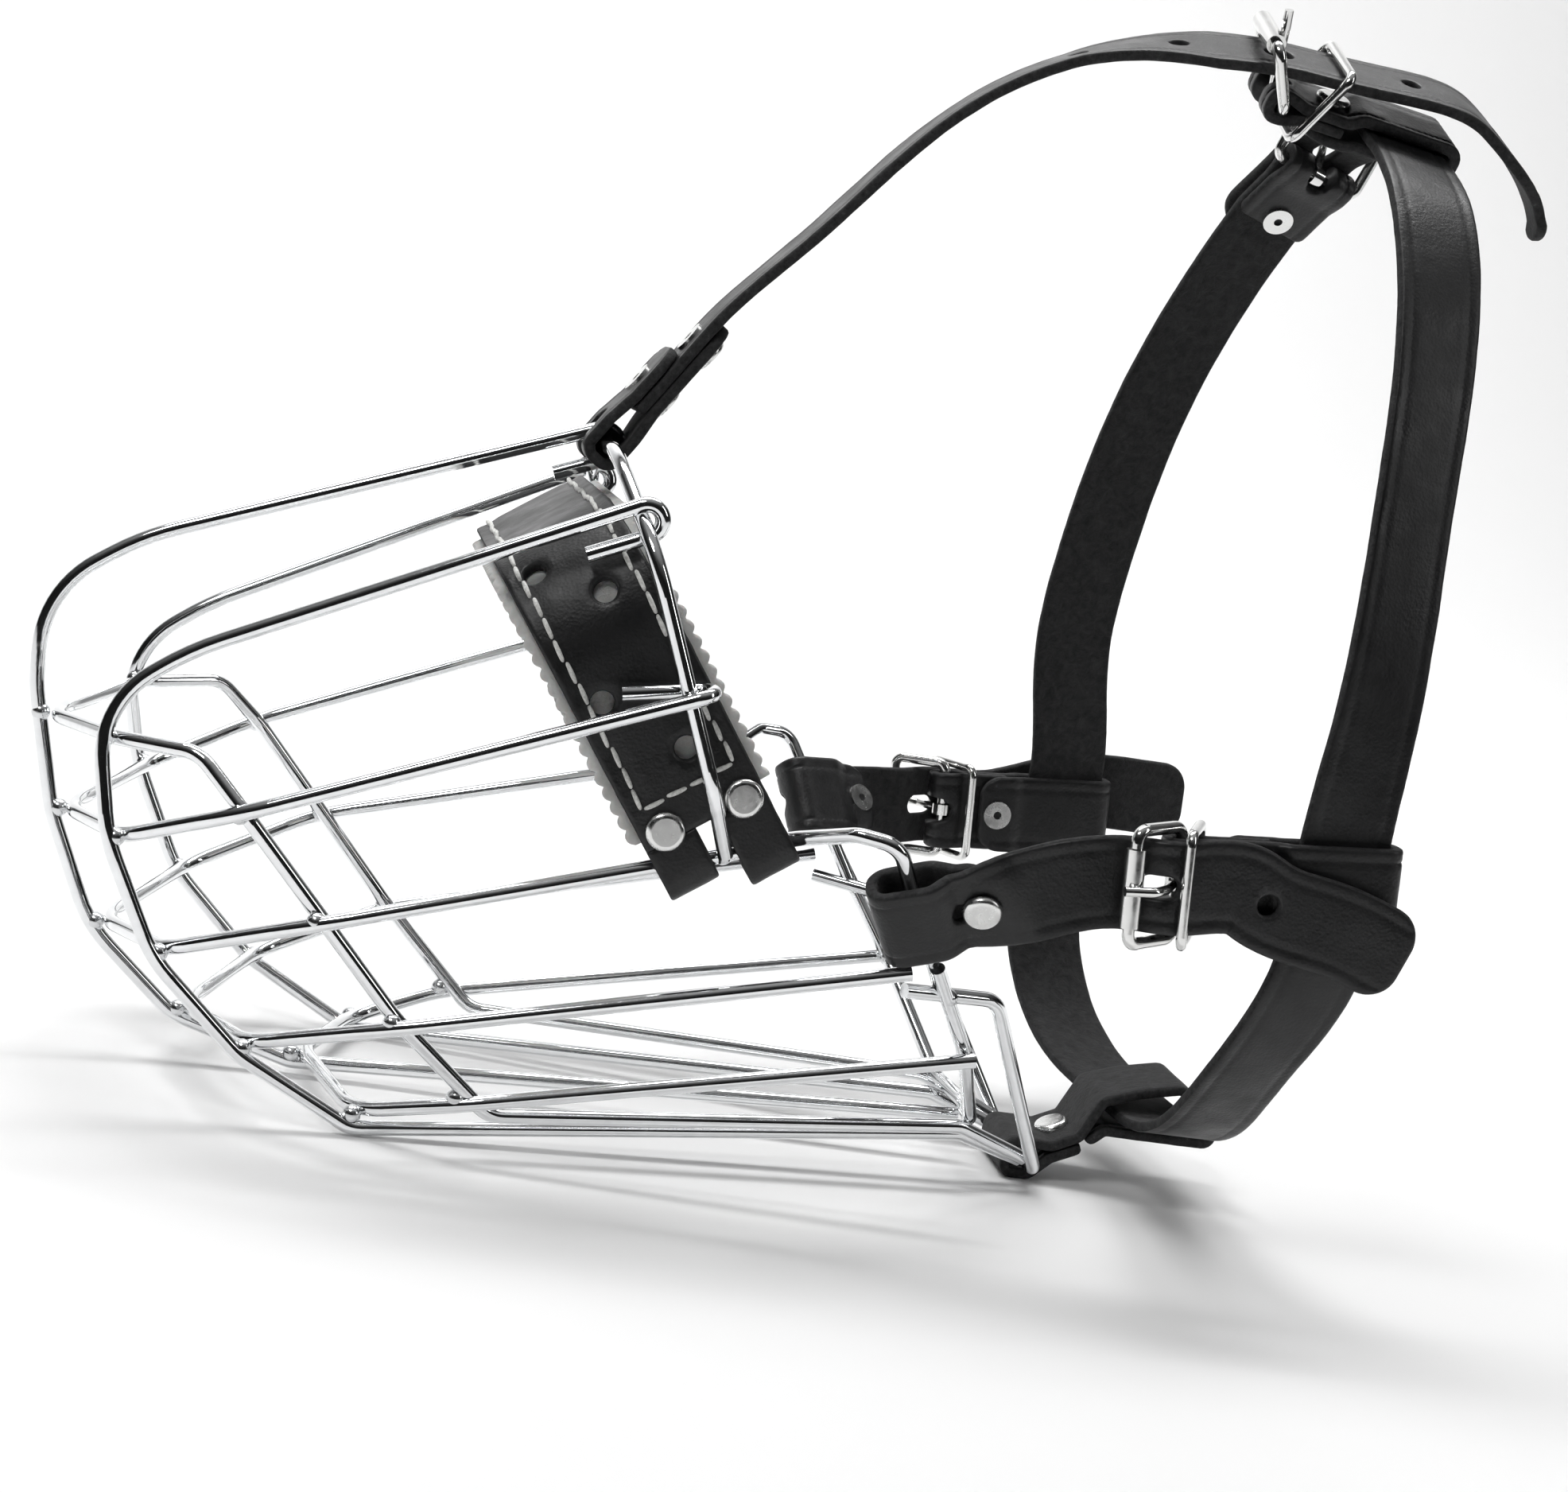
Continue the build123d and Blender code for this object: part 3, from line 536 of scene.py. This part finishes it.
def thread():
    m, nt, b = material("thread")
    c = coords(nt)
    twist = texture(nt, "ShaderNodeTexNoise", 1600, c, Detail=5, Roughness=0.6)
    tone = ramp(nt, twist.outputs["Fac"], [(0.3, (0.5, 0.5, 0.48)), (0.65, (0.86, 0.86, 0.83))])
    nt.links.new(tone, b.inputs["Base Color"])
    b.inputs["Roughness"].default_value = 0.62
    b.inputs["Sheen Weight"].default_value = 0.2
    bump(nt, b, [(twist.outputs["Fac"], 0.6, 0.0002)])
    return m


GRAIN, FLESH, EDGE = leather_grain(), leather_flesh(), leather_edge()
LEATHER = [GRAIN, FLESH, EDGE]
CHROME = plated("chrome_wire", (0.86, 0.87, 0.88), 0.05, 0.09)
WELD = plated("chrome_weld", (0.74, 0.75, 0.76), 0.14, 0.16, 500)
NICKEL = plated("nickel_buckle", (0.8, 0.8, 0.79), 0.1, 0.12)
RIVET = plated("nickel_rivet", (0.82, 0.82, 0.81), 0.17, 0.2, 420)
FELT = felt_cloth()
THREAD = thread()


# ---- places shared with the CAD model --------------------------------------------------------------
class Seat:
    """A buckle's place: origin on its bar, x to the roller, y along the bar, z out of the strap."""

    def __init__(self, origin, x, z):
        self.o = np.array(origin, float)
        self.z = unit(z)
        self.x = unit(np.asarray(x, float) - self.z * (np.asarray(x, float) @ self.z))
        self.y = np.cross(self.z, self.x)

    def at(self, along, up, side=0.0):
        return self.o + self.x * along + self.z * up + self.y * side

    def line(self, flat):
        return self.o + np.outer(flat[:, 0], self.x) + np.outer(flat[:, 1], self.z)


SEATS = {
    "top": Seat((88.5, 0, 248.5), (-0.993, 0, 0.115), (0.105, -0.42, 0.90)),
    "near": Seat((78.3, -66.5, 84.0), (-0.995, 0, -0.10), (0, -1, 0)),
    "far": Seat((64.0, 66.5, 69.0), (-0.995, 0, -0.10), (0, 1, 0)),
    "collar": Seat((112.0, 27.8, 235.8), (0.33, -0.62, 0.71), (0, 0.753, 0.658)),
}
# The ends of the sloping cheek wire, with its side's sign left off.
CHEEK_TOP, CHEEK_LOW = (21.0, 64.0, 82.5), (39.5, 48.8, 51.0)


def blended(turns, t):
    """Width directions at even steps along a curve, filled in at each t."""
    turns = np.array(turns, float)
    grid = np.linspace(0, 1, len(turns))
    return np.stack([np.interp(t, grid, turns[:, i]) for i in range(3)], 1)


def through_buckle(kind):
    """The strap's middle line from in front of the roller to behind the rivet."""
    seat = SEATS[kind]
    reach = REACH[kind]
    return [seat.at(reach + 3, UNDER_ROLLER), seat.at(reach, UNDER_ROLLER), seat.at(3.5, OVER_BAR + 0.1),
            seat.at(0, OVER_BAR), seat.at(-RIVET_BACK, OVER_PINCH)]


# ---- straps -----------------------------------------------------------------------------------------
def strap(name, node, path, outline, holes, seed, body="harness"):
    """A creased strap in place of a CAD node, hung on the given body; with no body it is left unattached."""
    obj = sheet(name, path, outline, holes, LEATHER, STRAP_LANES,
                grain=grain_relief(seed), flesh=flesh_relief(seed))
    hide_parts(node)
    if body:
        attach(obj, body)
    return obj


def bar_fold(side):
    """The turn round a buckle's bar, from one layer to the other; side is +1 or -1 for the first."""
    return [(FOLD_CLOSES, side * PINCH), (-1, side * FOLD_R), (FOLD_R, side * FOLD_R),
            (FOLD_R, -side * FOLD_R), (-1, -side * FOLD_R), (FOLD_CLOSES, -side * PINCH)]


def tab_piece(kind, seed):
    """The tab that carries a buckle, holds the collar in a loop and is riveted to itself."""
    seat = SEATS[kind]
    far_end = -TO_COLLAR[kind] - STRAP_W / 2 - 2.4
    start = -TO_COLLAR[kind] + STRAP_W / 2 + 1.8
    flat = filleted([(start + 3, -PINCH), *bar_fold(-1), (start + 2.5, PINCH), (start - 0.5, CAVITY),
                     (far_end, CAVITY), (far_end, -CAVITY), (start - 0.5, -CAVITY),
                     (start + 1.5, -3 * PINCH), (FLAP_END, -3 * PINCH)],
                    [3, 3, 1.9, 1.9, 3, 3, 3, 3, 2.4, 2.4, 3, 3])
    path = Path(seat.line(flat), seat.y, -1)
    fold = path.nearest(seat.at(FOLD_R, 0))
    slot = bar_slot(fold)
    outline = rounded_strip(path.length, STRAP_W, 0.6, 5.5, seed=seed)
    strap(f"{kind}_tab_leather", f"{kind}_tab", path, outline, [slot], seed)


def loop_frame(seat, side):
    """Where a cheek strap is folded round its wire: a point, then the strap's way, out and across."""
    top = np.array(CHEEK_TOP) * (1, side, 1)
    low = np.array(CHEEK_LOW) * (1, side, 1)
    wire = top + (low - top) * 0.46
    aim = unit(seat.at(REACH["near"] + 3, UNDER_ROLLER) - wire)
    along = (low - top) * -side
    z = unit(along - aim * (along @ aim))
    y = np.cross(z, aim)
    return wire - aim * 8 + y * PINCH, aim, y, z


def cheek_piece(kind, side, tail, holes_at, seed):
    """A cheek strap, from its fold round the wire through the buckle to its tail."""
    seat = SEATS[kind]
    o, x, y, z = loop_frame(seat, side)
    hold = WIRE_R + 1.2 + HALF_T
    fold = filleted([(24, -2 * PINCH), (17.5, -2 * PINCH), (12.5, -hold - PINCH), (0, -hold - PINCH),
                     (0, hold - PINCH), (12, hold - PINCH), (16, 0), (18, 0)], [4, 4, 3.4, 3.4, 4, 1.5])
    bend = o + np.outer(fold[:, 0], x) + np.outer(fold[:, 1], y)
    run, t = curve_through([o + x * 18, *through_buckle(kind), *tail], x, np.subtract(tail[-1], tail[-2]))
    level = seat.y * (1 if seat.y @ z > 0 else -1)
    across = np.concatenate([np.tile(z, (len(bend), 1)), blended([z] + [level] * 8, t)])
    path = Path(np.concatenate([bend, run]), across, -1)
    holes = [prong_hole(path.nearest(seat.at(5.0, 4.0)))]
    holes += [circle(path.nearest(seat.at(REACH[kind], UNDER_ROLLER)) + d, 0, 2.3) for d in holes_at]
    outline = rounded_strip(path.length, STRAP_W, 5.5, 6.5, seed=seed)
    strap(f"{kind}_cheek_leather", f"{kind}_cheek_strap", path, outline, holes, seed)


def collar_turn(spot):
    """The collar's width direction: level at the sides, leaning with the buckle and the top tab."""
    top = np.array((0.993, 0, -0.115))

    def mixed(a, b, amount):
        amount = min(1.0, max(0.0, amount))
        return np.asarray(a) * (1 - amount) + np.asarray(b) * amount

    _, y, z = spot
    if y > 0:
        leaning = mixed((1, 0, 0), SEATS["collar"].y, (z - 150) / 60)
        return mixed(leaning, top, (24 - y) / 12 if z > 235 else 0)
    rise = min(1.0, max(0.0, (z - 98) / 136))
    dip = min(1.0, max(0.0, (72 - z) / 56))
    yaw = math.radians(15 * math.sin(math.pi * rise) + 7 * math.sin(math.pi * dip))
    return mixed((math.cos(yaw), math.sin(yaw), 0), top, (z - 212) / 25)


def collar_piece():
    """The collar from its free end over the neck, down the near side, up the far side to its buckle."""
    seat = SEATS["collar"]
    near_x, far_x = 112.0, 94.0
    top, way = np.array((117.8, 0, 245.1)), np.array((0.048, 0.906, 0.417))
    points = [seat.at(-24, OVER_PINCH + 0.4), *reversed(through_buckle("collar")[1:]),
              top + way * 9, top, top - way * 9,
              (116, -29, 231), (near_x + 3, -50, 204), (near_x + 1.5, -61.5, 164),
              (near_x + 1, -66.3, 125), (near_x, -66.5, 101), (near_x, -66.5, 87), (near_x, -66.5, 73),
              (near_x - 6, -57, 45), (near_x - 5, -32, 23.8),
              (107.5, -10, 17.3), (107.0, 0, 17.0), (106.0, 10, 17.0),
              (far_x + 6, 35, 21.5), (far_x + 1, 56, 37), (far_x, 66.5, 58), (far_x, 66.5, 72),
              (far_x, 66.5, 86), (far_x - 4.2, 66.3, 110), (far_x - 4.5, 63, 141),
              (far_x - 0.8, 57, 174), (far_x + 5.6, 49, 202),
              seat.at(-RIVET_BACK - 2, PINCH)]
    run, _ = curve_through(points)
    across = np.array([collar_turn(spot) for spot in run])
    fold = filleted([(-RIVET_BACK - 1, PINCH), *bar_fold(1), (-RIVET_BACK - 3, -PINCH)],
                    [3, 3, 1.9, 1.9, 3, 3])
    bend = seat.line(fold)
    across = np.concatenate([across, np.tile(seat.y, (len(bend), 1))])
    path = Path(np.concatenate([run, bend]), across, 1)
    holes = [bar_slot(path.nearest(seat.at(FOLD_R, 0))), prong_hole(path.nearest(seat.at(5.0, 4.0)))]
    outline = rounded_strip(path.length, STRAP_W, 7.5, 2.0, seed=2.0)
    strap("collar_leather", "collar_strap", path, outline, holes, 2.0)


def forehead_line():
    """The forehead tab's frame: a point on the wire it hangs from, then its way, out and across."""
    o, x, z = np.array((-43.8, 0, 148.0)), unit((0.534, 0, 0.845)), np.array((0, 1.0, 0))
    y = np.cross(z, x)
    return o, x, y, z


def forehead_piece():
    """The forehead strap, from its tab over the head through the top buckle to its tongue."""
    o, x, _, z = forehead_line()
    seat = SEATS["top"]
    points = [o + x * 10, o + x * 22, o + x * 37, (-8, 0, 198.5), (9.5, 0, 220.5), (27, 0, 237.5),
              (45.6, -0.5, 248.2), (62, -1.5, 253.2), (75, -3, 254.9), (84, -3.5, 255.5), (97, -4, 255.2),
              (112, -4, 254.9), (123, -4, 254.6), (131, -4, 253.0), (138.5, -4, 248.4), (146, -4, 242.3),
              (151.0, -4, 236.6), (153.6, -4, 229.8)]
    run, t = curve_through(points)
    roll = seat.y * (1 if seat.y[1] > 0 else -1)
    path = Path(run, blended([z, z, z, z, z * 0.8 + roll * 0.2, roll, roll, roll, roll], t), 1)
    here = path.nearest(seat.at(3.0, 8.4))
    holes = [prong_hole(here, 1.5)]
    holes += [circle(here + d, 0, 2.0) for d in (-44, -22, 31, 54)]
    outline = rounded_strip(path.length, STRAP_W, 0.8, 5.0, tongue=9.0, seed=3.0)
    obj = strap("forehead_leather", "forehead_strap", path, outline, holes, 3.0, body=None)
    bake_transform(obj)


def forehead_tab_piece():
    """The tab folded round the arch, with a slot for the centre wire's hook."""
    o, x, y, z = forehead_line()
    layer = LEATHER_T + 0.2
    hold = WIRE_R + 0.7 + HALF_T
    flat = filleted([(25, -layer), (12, -layer), (5, -hold), (-hold, -hold), (-hold, hold), (5, hold),
                     (12, layer), (36, layer)], [5, 5, 2.6, 2.6, 5, 5])
    line = o + np.outer(flat[:, 0], x) + np.outer(flat[:, 1], y)
    path = Path(line, z, -1)
    front, rear = path.nearest(o + x * 5 - y * hold), path.nearest(o + x * 5 + y * hold)
    slot = circle((front + rear) / 2, 0, 2.3, 30, rear - front - 3)
    outline = rounded_strip(path.length, STRAP_W, 6.5, 7.5, seed=4.0)
    strap("forehead_tab_leather", "forehead_tab", path, outline, [slot], 4.0, body="basket")


def chin_piece():
    """The chin loop, in the middle plane: round the bracket below, then round the collar."""
    flat = filleted([(91.0, 8.9), (84.0, 5.6), (79.5, 1.2), (73.6, 1.2), (73.6, 8.6), (79.5, 8.6),
                     (84.0, 8.45), (90.0, 11.4), (94.0, 20.4), (102.0, 23.3), (112.0, 25.5),
                     (122.0, 19.0), (120.5, 13.6), (95.5, 13.6), (92.0, 10.4)], [2.0] * 13)
    line = np.stack([flat[:, 0], np.zeros(len(flat)), flat[:, 1]], 1)
    path = Path(line, (0, 1, 0), -1)
    outline = rounded_strip(path.length, STRAP_W, 2.0, 2.0, seed=6.0)
    obj = strap("chin_leather", "chin_strap", path, outline, [], 6.0, body=None)
    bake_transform(obj)


# ---- nose pad -----------------------------------------------------------------------------------------
PAD_W = 27.0
PAD_Y, PAD_R, PAD_DROP = 53.2, 26.0, 64.5    # half width outside, corner radius, crown to hem
LEAN = math.radians(37)
PAD_O = np.array((-55.0, 0, 131.0))
PAD_E = np.array((math.cos(LEAN), 0, math.sin(LEAN)))
PAD_UP = np.array((-math.sin(LEAN), 0, math.cos(LEAN)))
PAD_HOLES = ((-7.5, 6.0), (3.3, 14.0), (-7.5, 33.0), (3.3, 49.0))    # along the pad and down
PAD_HOLE_R = 2.5
LUGS = ((-8.0, 11.0, 75.5), (8.0, 11.0, 80.5))    # along the pad, width, crown to its fold
LUG_TOP = 56.5          # crown to the end of the layer folded back
LUG_FOLD = 6.8          # spacing of a lug's two layers
FELT_T = 2.7


def pad_section(outer, drop):
    """The pad's bend in its own cross plane, from the near side over the crown to the far side."""
    top = outer - PAD_Y
    r = PAD_R - (PAD_Y - outer)
    flat = filleted([(-outer, -drop), (-outer, top), (outer, top), (outer, -drop)], [r, r])
    return in_pad_plane(flat)


def in_pad_plane(flat):
    return PAD_O + np.outer(flat[:, 0], (0, 1.0, 0)) + np.outer(flat[:, 1], PAD_UP)


def pad_path(outer, drop):
    """The bend as a path whose outward side is up at the crown."""
    path = Path(pad_section(outer, drop), PAD_E, 1)
    if path.n[len(path.n) // 2] @ PAD_UP < 0:
        path.n *= -1
    return path


def pad_outline(length):
    """The pad leather before bending: two slightly uneven long edges and square ends."""
    w = PAD_W / 2
    end = np.linspace(-w + 0.7, w - 0.7, 36)
    n = 260

    def side_line(sign):
        return [(length * i / n, sign * w + 0.1 * noise.noise(Vector((i * 0.23, sign, 7))))
                for i in range(n + 1)]

    return np.array([*side_line(-1), *[(length, v) for v in end],
                     *side_line(1)[::-1], *[(0, v) for v in end[::-1]]])


def pad_lug(side, along, width, low):
    """A lug going down from the pad's hem, round the rim wire and back up inside."""
    outer = PAD_Y - HALF_T
    inner = outer - LUG_FOLD
    r = LUG_FOLD / 2 - 0.02
    flat = filleted([(side * outer, -PAD_DROP + 0.2), (side * outer, -low), (side * inner, -low),
                     (side * inner, -LUG_TOP)], [r, r])
    lug = Path(in_pad_plane(flat), PAD_E, 1)
    if lug.n[2] @ np.array((0, side, 0)) < 0:
        lug.n *= -1
    lug.p = lug.p + PAD_E * along
    cut = rounded_strip(lug.length, width, 0.4, 3.0, seed=side + along)
    return sheet("pad_lug", lug, cut, [], LEATHER, np.linspace(-4.2, 4.2, 7), rim=0.6,
                 grain=grain_relief(side + along, False), flesh=flesh_relief(3.0))


def pad_leather_piece():
    """The saddle over the nose and its four lugs, as one piece; returns the saddle's path."""
    path = pad_path(PAD_Y - HALF_T, PAD_DROP)

    def spot(side, along, down):
        rise = max(0.0, PAD_R - down)
        k = math.sqrt(max(0, (PAD_R - HALF_T) ** 2 - rise ** 2))
        y = side * (PAD_Y - PAD_R + k)
        return path.nearest(PAD_O + np.array((0, y, 0)) - PAD_UP * down), along

    def relief(q):
        """The hide, pulled in along the stitching and a little crowned between the two rows."""
        line = np.abs(np.abs(q[:, 1]) - PAD_STITCH)
        ends = np.minimum(q[:, 0], path.length - q[:, 0])
        pinch = np.exp(-((line / 1.1) ** 2)) * (ends > 9)
        crown = np.cos(q[:, 1] / PAD_STITCH * math.pi / 2)
        return grain_relief(11.0, False)(q) - 0.3 * pinch + 0.12 * crown

    holes = [circle(*spot(side, a, d), PAD_HOLE_R) for side in (1, -1) for a, d in PAD_HOLES]
    body = sheet("pad_leather_shell", path, pad_outline(path.length), holes, LEATHER,
                 np.linspace(-12.3, 12.3, 17), grain=relief, flesh=flesh_relief(11.0))
    shells = [body, *[pad_lug(side, *lug) for lug in LUGS for side in (-1, 1)]]
    bpy.ops.object.select_all(action="DESELECT")
    for s in shells:
        s.select_set(True)
    bpy.context.view_layer.objects.active = body
    bpy.ops.object.join()
    body.name = "pad_leather_shell"
    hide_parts("pad_leather")
    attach(body, "basket")
    return path


def felt_piece():
    """The felt lining, pinked along both long edges."""
    path = pad_path(PAD_Y - LEATHER_T - 0.05 - 1.4, PAD_DROP - 2)
    n = int(path.length / 0.5)
    shift = 1.1
    pinking = 3.4

    def scallop(s):
        return PAD_W / 2 + 1.2 + 1.3 * abs(math.sin(math.pi * s / pinking)) ** 0.8

    along = [path.length * i / n for i in range(n + 1)]
    outline = np.array([(s, -scallop(s)) for s in along] + [(s, scallop(s + shift)) for s in along[::-1]])

    def fuzz(q):
        return np.array([0.16 * noise.noise(Vector((s * 0.5, v * 0.5, 1.5)))
                         + 0.3 * noise.noise(Vector((s * 0.08, v * 0.08, 4.5))) for s, v in q])

    felt = sheet("pad_felt_cloth", path, outline, [], [FELT] * 3, np.linspace(-13, 13, 18),
                 thick=FELT_T, rim=0.7, flesh=fuzz)
    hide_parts("pad_felt")
    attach(felt, "basket")


def tube(verts, faces, line, radii):
    """A closed tube with the given radius at each point of the line."""
    base = len(verts)
    ring = 8
    tang = np.gradient(line, axis=0)
    for i, radius in enumerate(radii):
        t = unit(tang[i])
        side = unit(np.cross(t, (0.31, 0.52, 0.79)))
        up = np.cross(side, t)
        for k in range(ring):
            w = 2 * math.pi * k / ring
            verts.append(tuple((line[i] + side * radius * math.cos(w) + up * radius * math.sin(w)) / 1000))
    last = len(radii) - 1
    for i in range(last):
        for k in range(ring):
            p, q = base + i * ring + k, base + i * ring + (k + 1) % ring
            faces.append((p, q, q + ring, p + ring))
    faces.append(tuple(base + k for k in reversed(range(ring))))
    faces.append(tuple(base + last * ring + k for k in range(ring)))


def stitches(path):
    """Running stitch along both edges and across above the lugs, thread sunk at each hole."""
    thread_r, pitch, gap, rows = 0.5, 4.7, 0.6, 4
    verts, faces = [], []

    def one(a, b):
        u = np.linspace(0, 1, 9)
        h = HALF_T - 0.5 + 0.8 * np.sin(np.pi * u) ** 0.5
        line = path.at(np.linspace(a[0], b[0], len(u)), np.linspace(a[1], b[1], len(u)), h)
        tube(verts, faces, line, [thread_r * (0.75 + 0.25 * math.sin(math.pi * k)) for k in u])

    lo, hi = 8.5, path.length - 8.5
    n = int((hi - lo) / pitch)
    step = (hi - lo) / n
    for sign in (-1, 1):
        for i in range(n):
            s = lo + i * step
            v = sign * PAD_STITCH + 0.22 * math.sin(i * 1.7 + sign)
            one((s + gap / 2, v - 0.15), (s + step - gap / 2, v + 0.15))
    for s in (lo, hi):
        for i in range(rows):
            v = -PAD_STITCH + i * 2 * PAD_STITCH / rows
            one((s + 0.2 * (i % 2), v + gap / 2), (s - 0.15, v + 2 * PAD_STITCH / rows - gap / 2))
    mesh = bpy.data.meshes.new("pad_stitching")
    mesh.from_pydata(verts, [], faces)
    shade_smooth(mesh)
    mesh.materials.append(THREAD)
    obj = add_object("pad_stitching", mesh)
    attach(obj, "basket")


# ---- build -------------------------------------------------------------------------------------------
for kind, seed in (("top", 21.0), ("near", 22.0), ("far", 23.0)):
    tab_piece(kind, seed)
cheek_piece("near", -1, [(95.0, -72.0, 83.6), (111.5, -72.9, 80.2), (126.0, -74.4, 75.6)], (-34, 30.5), 31.0)
cheek_piece("far", 1, [(94.0, 72.8, 76.4), (129.5, 76.0, 78.8)], (-34, 30.5), 32.0)
collar_piece()
forehead_piece()
forehead_tab_piece()
chin_piece()
saddle = pad_leather_piece()
felt_piece()
stitches(saddle)

for name, obj in nodes.items():
    if obj.hide_render:
        continue
    if "rivet" in name:
        use = RIVET
    elif name.endswith(("_frame", "_roller", "_prong", "_keeper")):
        use = NICKEL
    elif name == "weld_beads":
        use = WELD
    elif name.startswith(("wire_", "ring_", "arch", "lower_rim", "chin_bracket")):
        use = CHROME
    else:
        continue
    obj.data.materials.clear()
    obj.data.materials.append(use)
    shade_smooth(obj.data)


# ---- studio -------------------------------------------------------------------------------------------
def plain(name, tone, rough):
    m, nt, b = material(name)
    c = coords(nt)
    cloud = texture(nt, "ShaderNodeTexNoise", 3, c, Detail=3)
    nt.links.new(ramp(nt, cloud.outputs["Fac"], [(0.3, tone - 0.01), (0.7, tone)]), b.inputs["Base Color"])
    b.inputs["Roughness"].default_value = rough
    b.inputs["Specular IOR Level"].default_value = 0.3
    return m


def floor():
    """A pale floor that curves up into a backdrop behind the muzzle."""
    line = [(-0.45, 0.0)]
    line += [(1.3 + 0.7 * math.sin(a), 0.7 - 0.7 * math.cos(a)) for a in np.linspace(0, math.pi / 2, 24)]
    line += [(2.0, 3.2)]
    verts = [(x, y, z) for y, z in line for x in (-4.0, 4.0)]
    faces = [(2 * i, 2 * i + 1, 2 * i + 3, 2 * i + 2) for i in range(len(line) - 1)]
    mesh = bpy.data.meshes.new("studio_floor")
    mesh.from_pydata(verts, [], faces)
    shade_smooth(mesh)
    mesh.materials.append(plain("pale_floor", 0.86, 0.6))
    add_object("studio_floor", mesh)


def lamp(name, place, aim, size, power):
    data = bpy.data.lights.new(name, "AREA")
    data.shape = "RECTANGLE"
    data.size, data.size_y = size
    data.energy = power
    obj = add_object(name, data)
    obj.location = place
    obj.rotation_euler = (Vector(aim) - Vector(place)).to_track_quat("-Z", "Y").to_euler()


floor()
lamp("key_light", (-0.55, -0.6, 1.05), (0, 0, 0.1), (0.5, 0.22), 4.2)
lamp("fill_light", (1.0, -0.5, 0.65), (0, 0, 0.12), (0.16, 0.7), 1.6)
lamp("top_light", (0.0, 0.25, 1.4), (0, 0.1, 0.0), (1.1, 0.35), 7.5)
lamp("backdrop_light", (0.0, 0.75, 2.1), (0, 2.0, 0.5), (2.6, 0.5), 52)

world = bpy.data.worlds.new("studio_air")
bpy.context.scene.world = world
world.use_nodes = True
wt = world.node_tree
back = wt.nodes["Background"]
sky = wt.nodes.new("ShaderNodeTexCoord")
split = wt.nodes.new("ShaderNodeSeparateXYZ")
wt.links.new(sky.outputs["Generated"], split.inputs["Vector"])
shade = ramp(wt, split.outputs["Z"], [(0.0, 0.02), (0.3, 0.015), (0.6, 0.1), (0.9, 0.5)])
wt.links.new(shade, back.inputs["Color"])
back.inputs["Strength"].default_value = 0.6

cam_data = bpy.data.cameras.new("photo_camera")
camera = add_object("photo_camera", cam_data)
right = Vector((0.97242, -0.15089, 0.17786))
up = Vector((-0.15325, 0.16153, 0.97490))
forward = right.cross(up) * -1
turn = Matrix((right, up, -forward)).transposed().to_4x4()
camera.matrix_world = Matrix.Translation((-0.1054, -0.5476, 0.1743)) @ turn
cam_data.sensor_width = 36.0
cam_data.lens = 58.47
cam_data.shift_x = 0.0341
cam_data.shift_y = -0.0345
cam_data.clip_start = 0.01
bpy.context.scene.camera = camera
bpy.context.scene.view_settings.view_transform = "Standard"

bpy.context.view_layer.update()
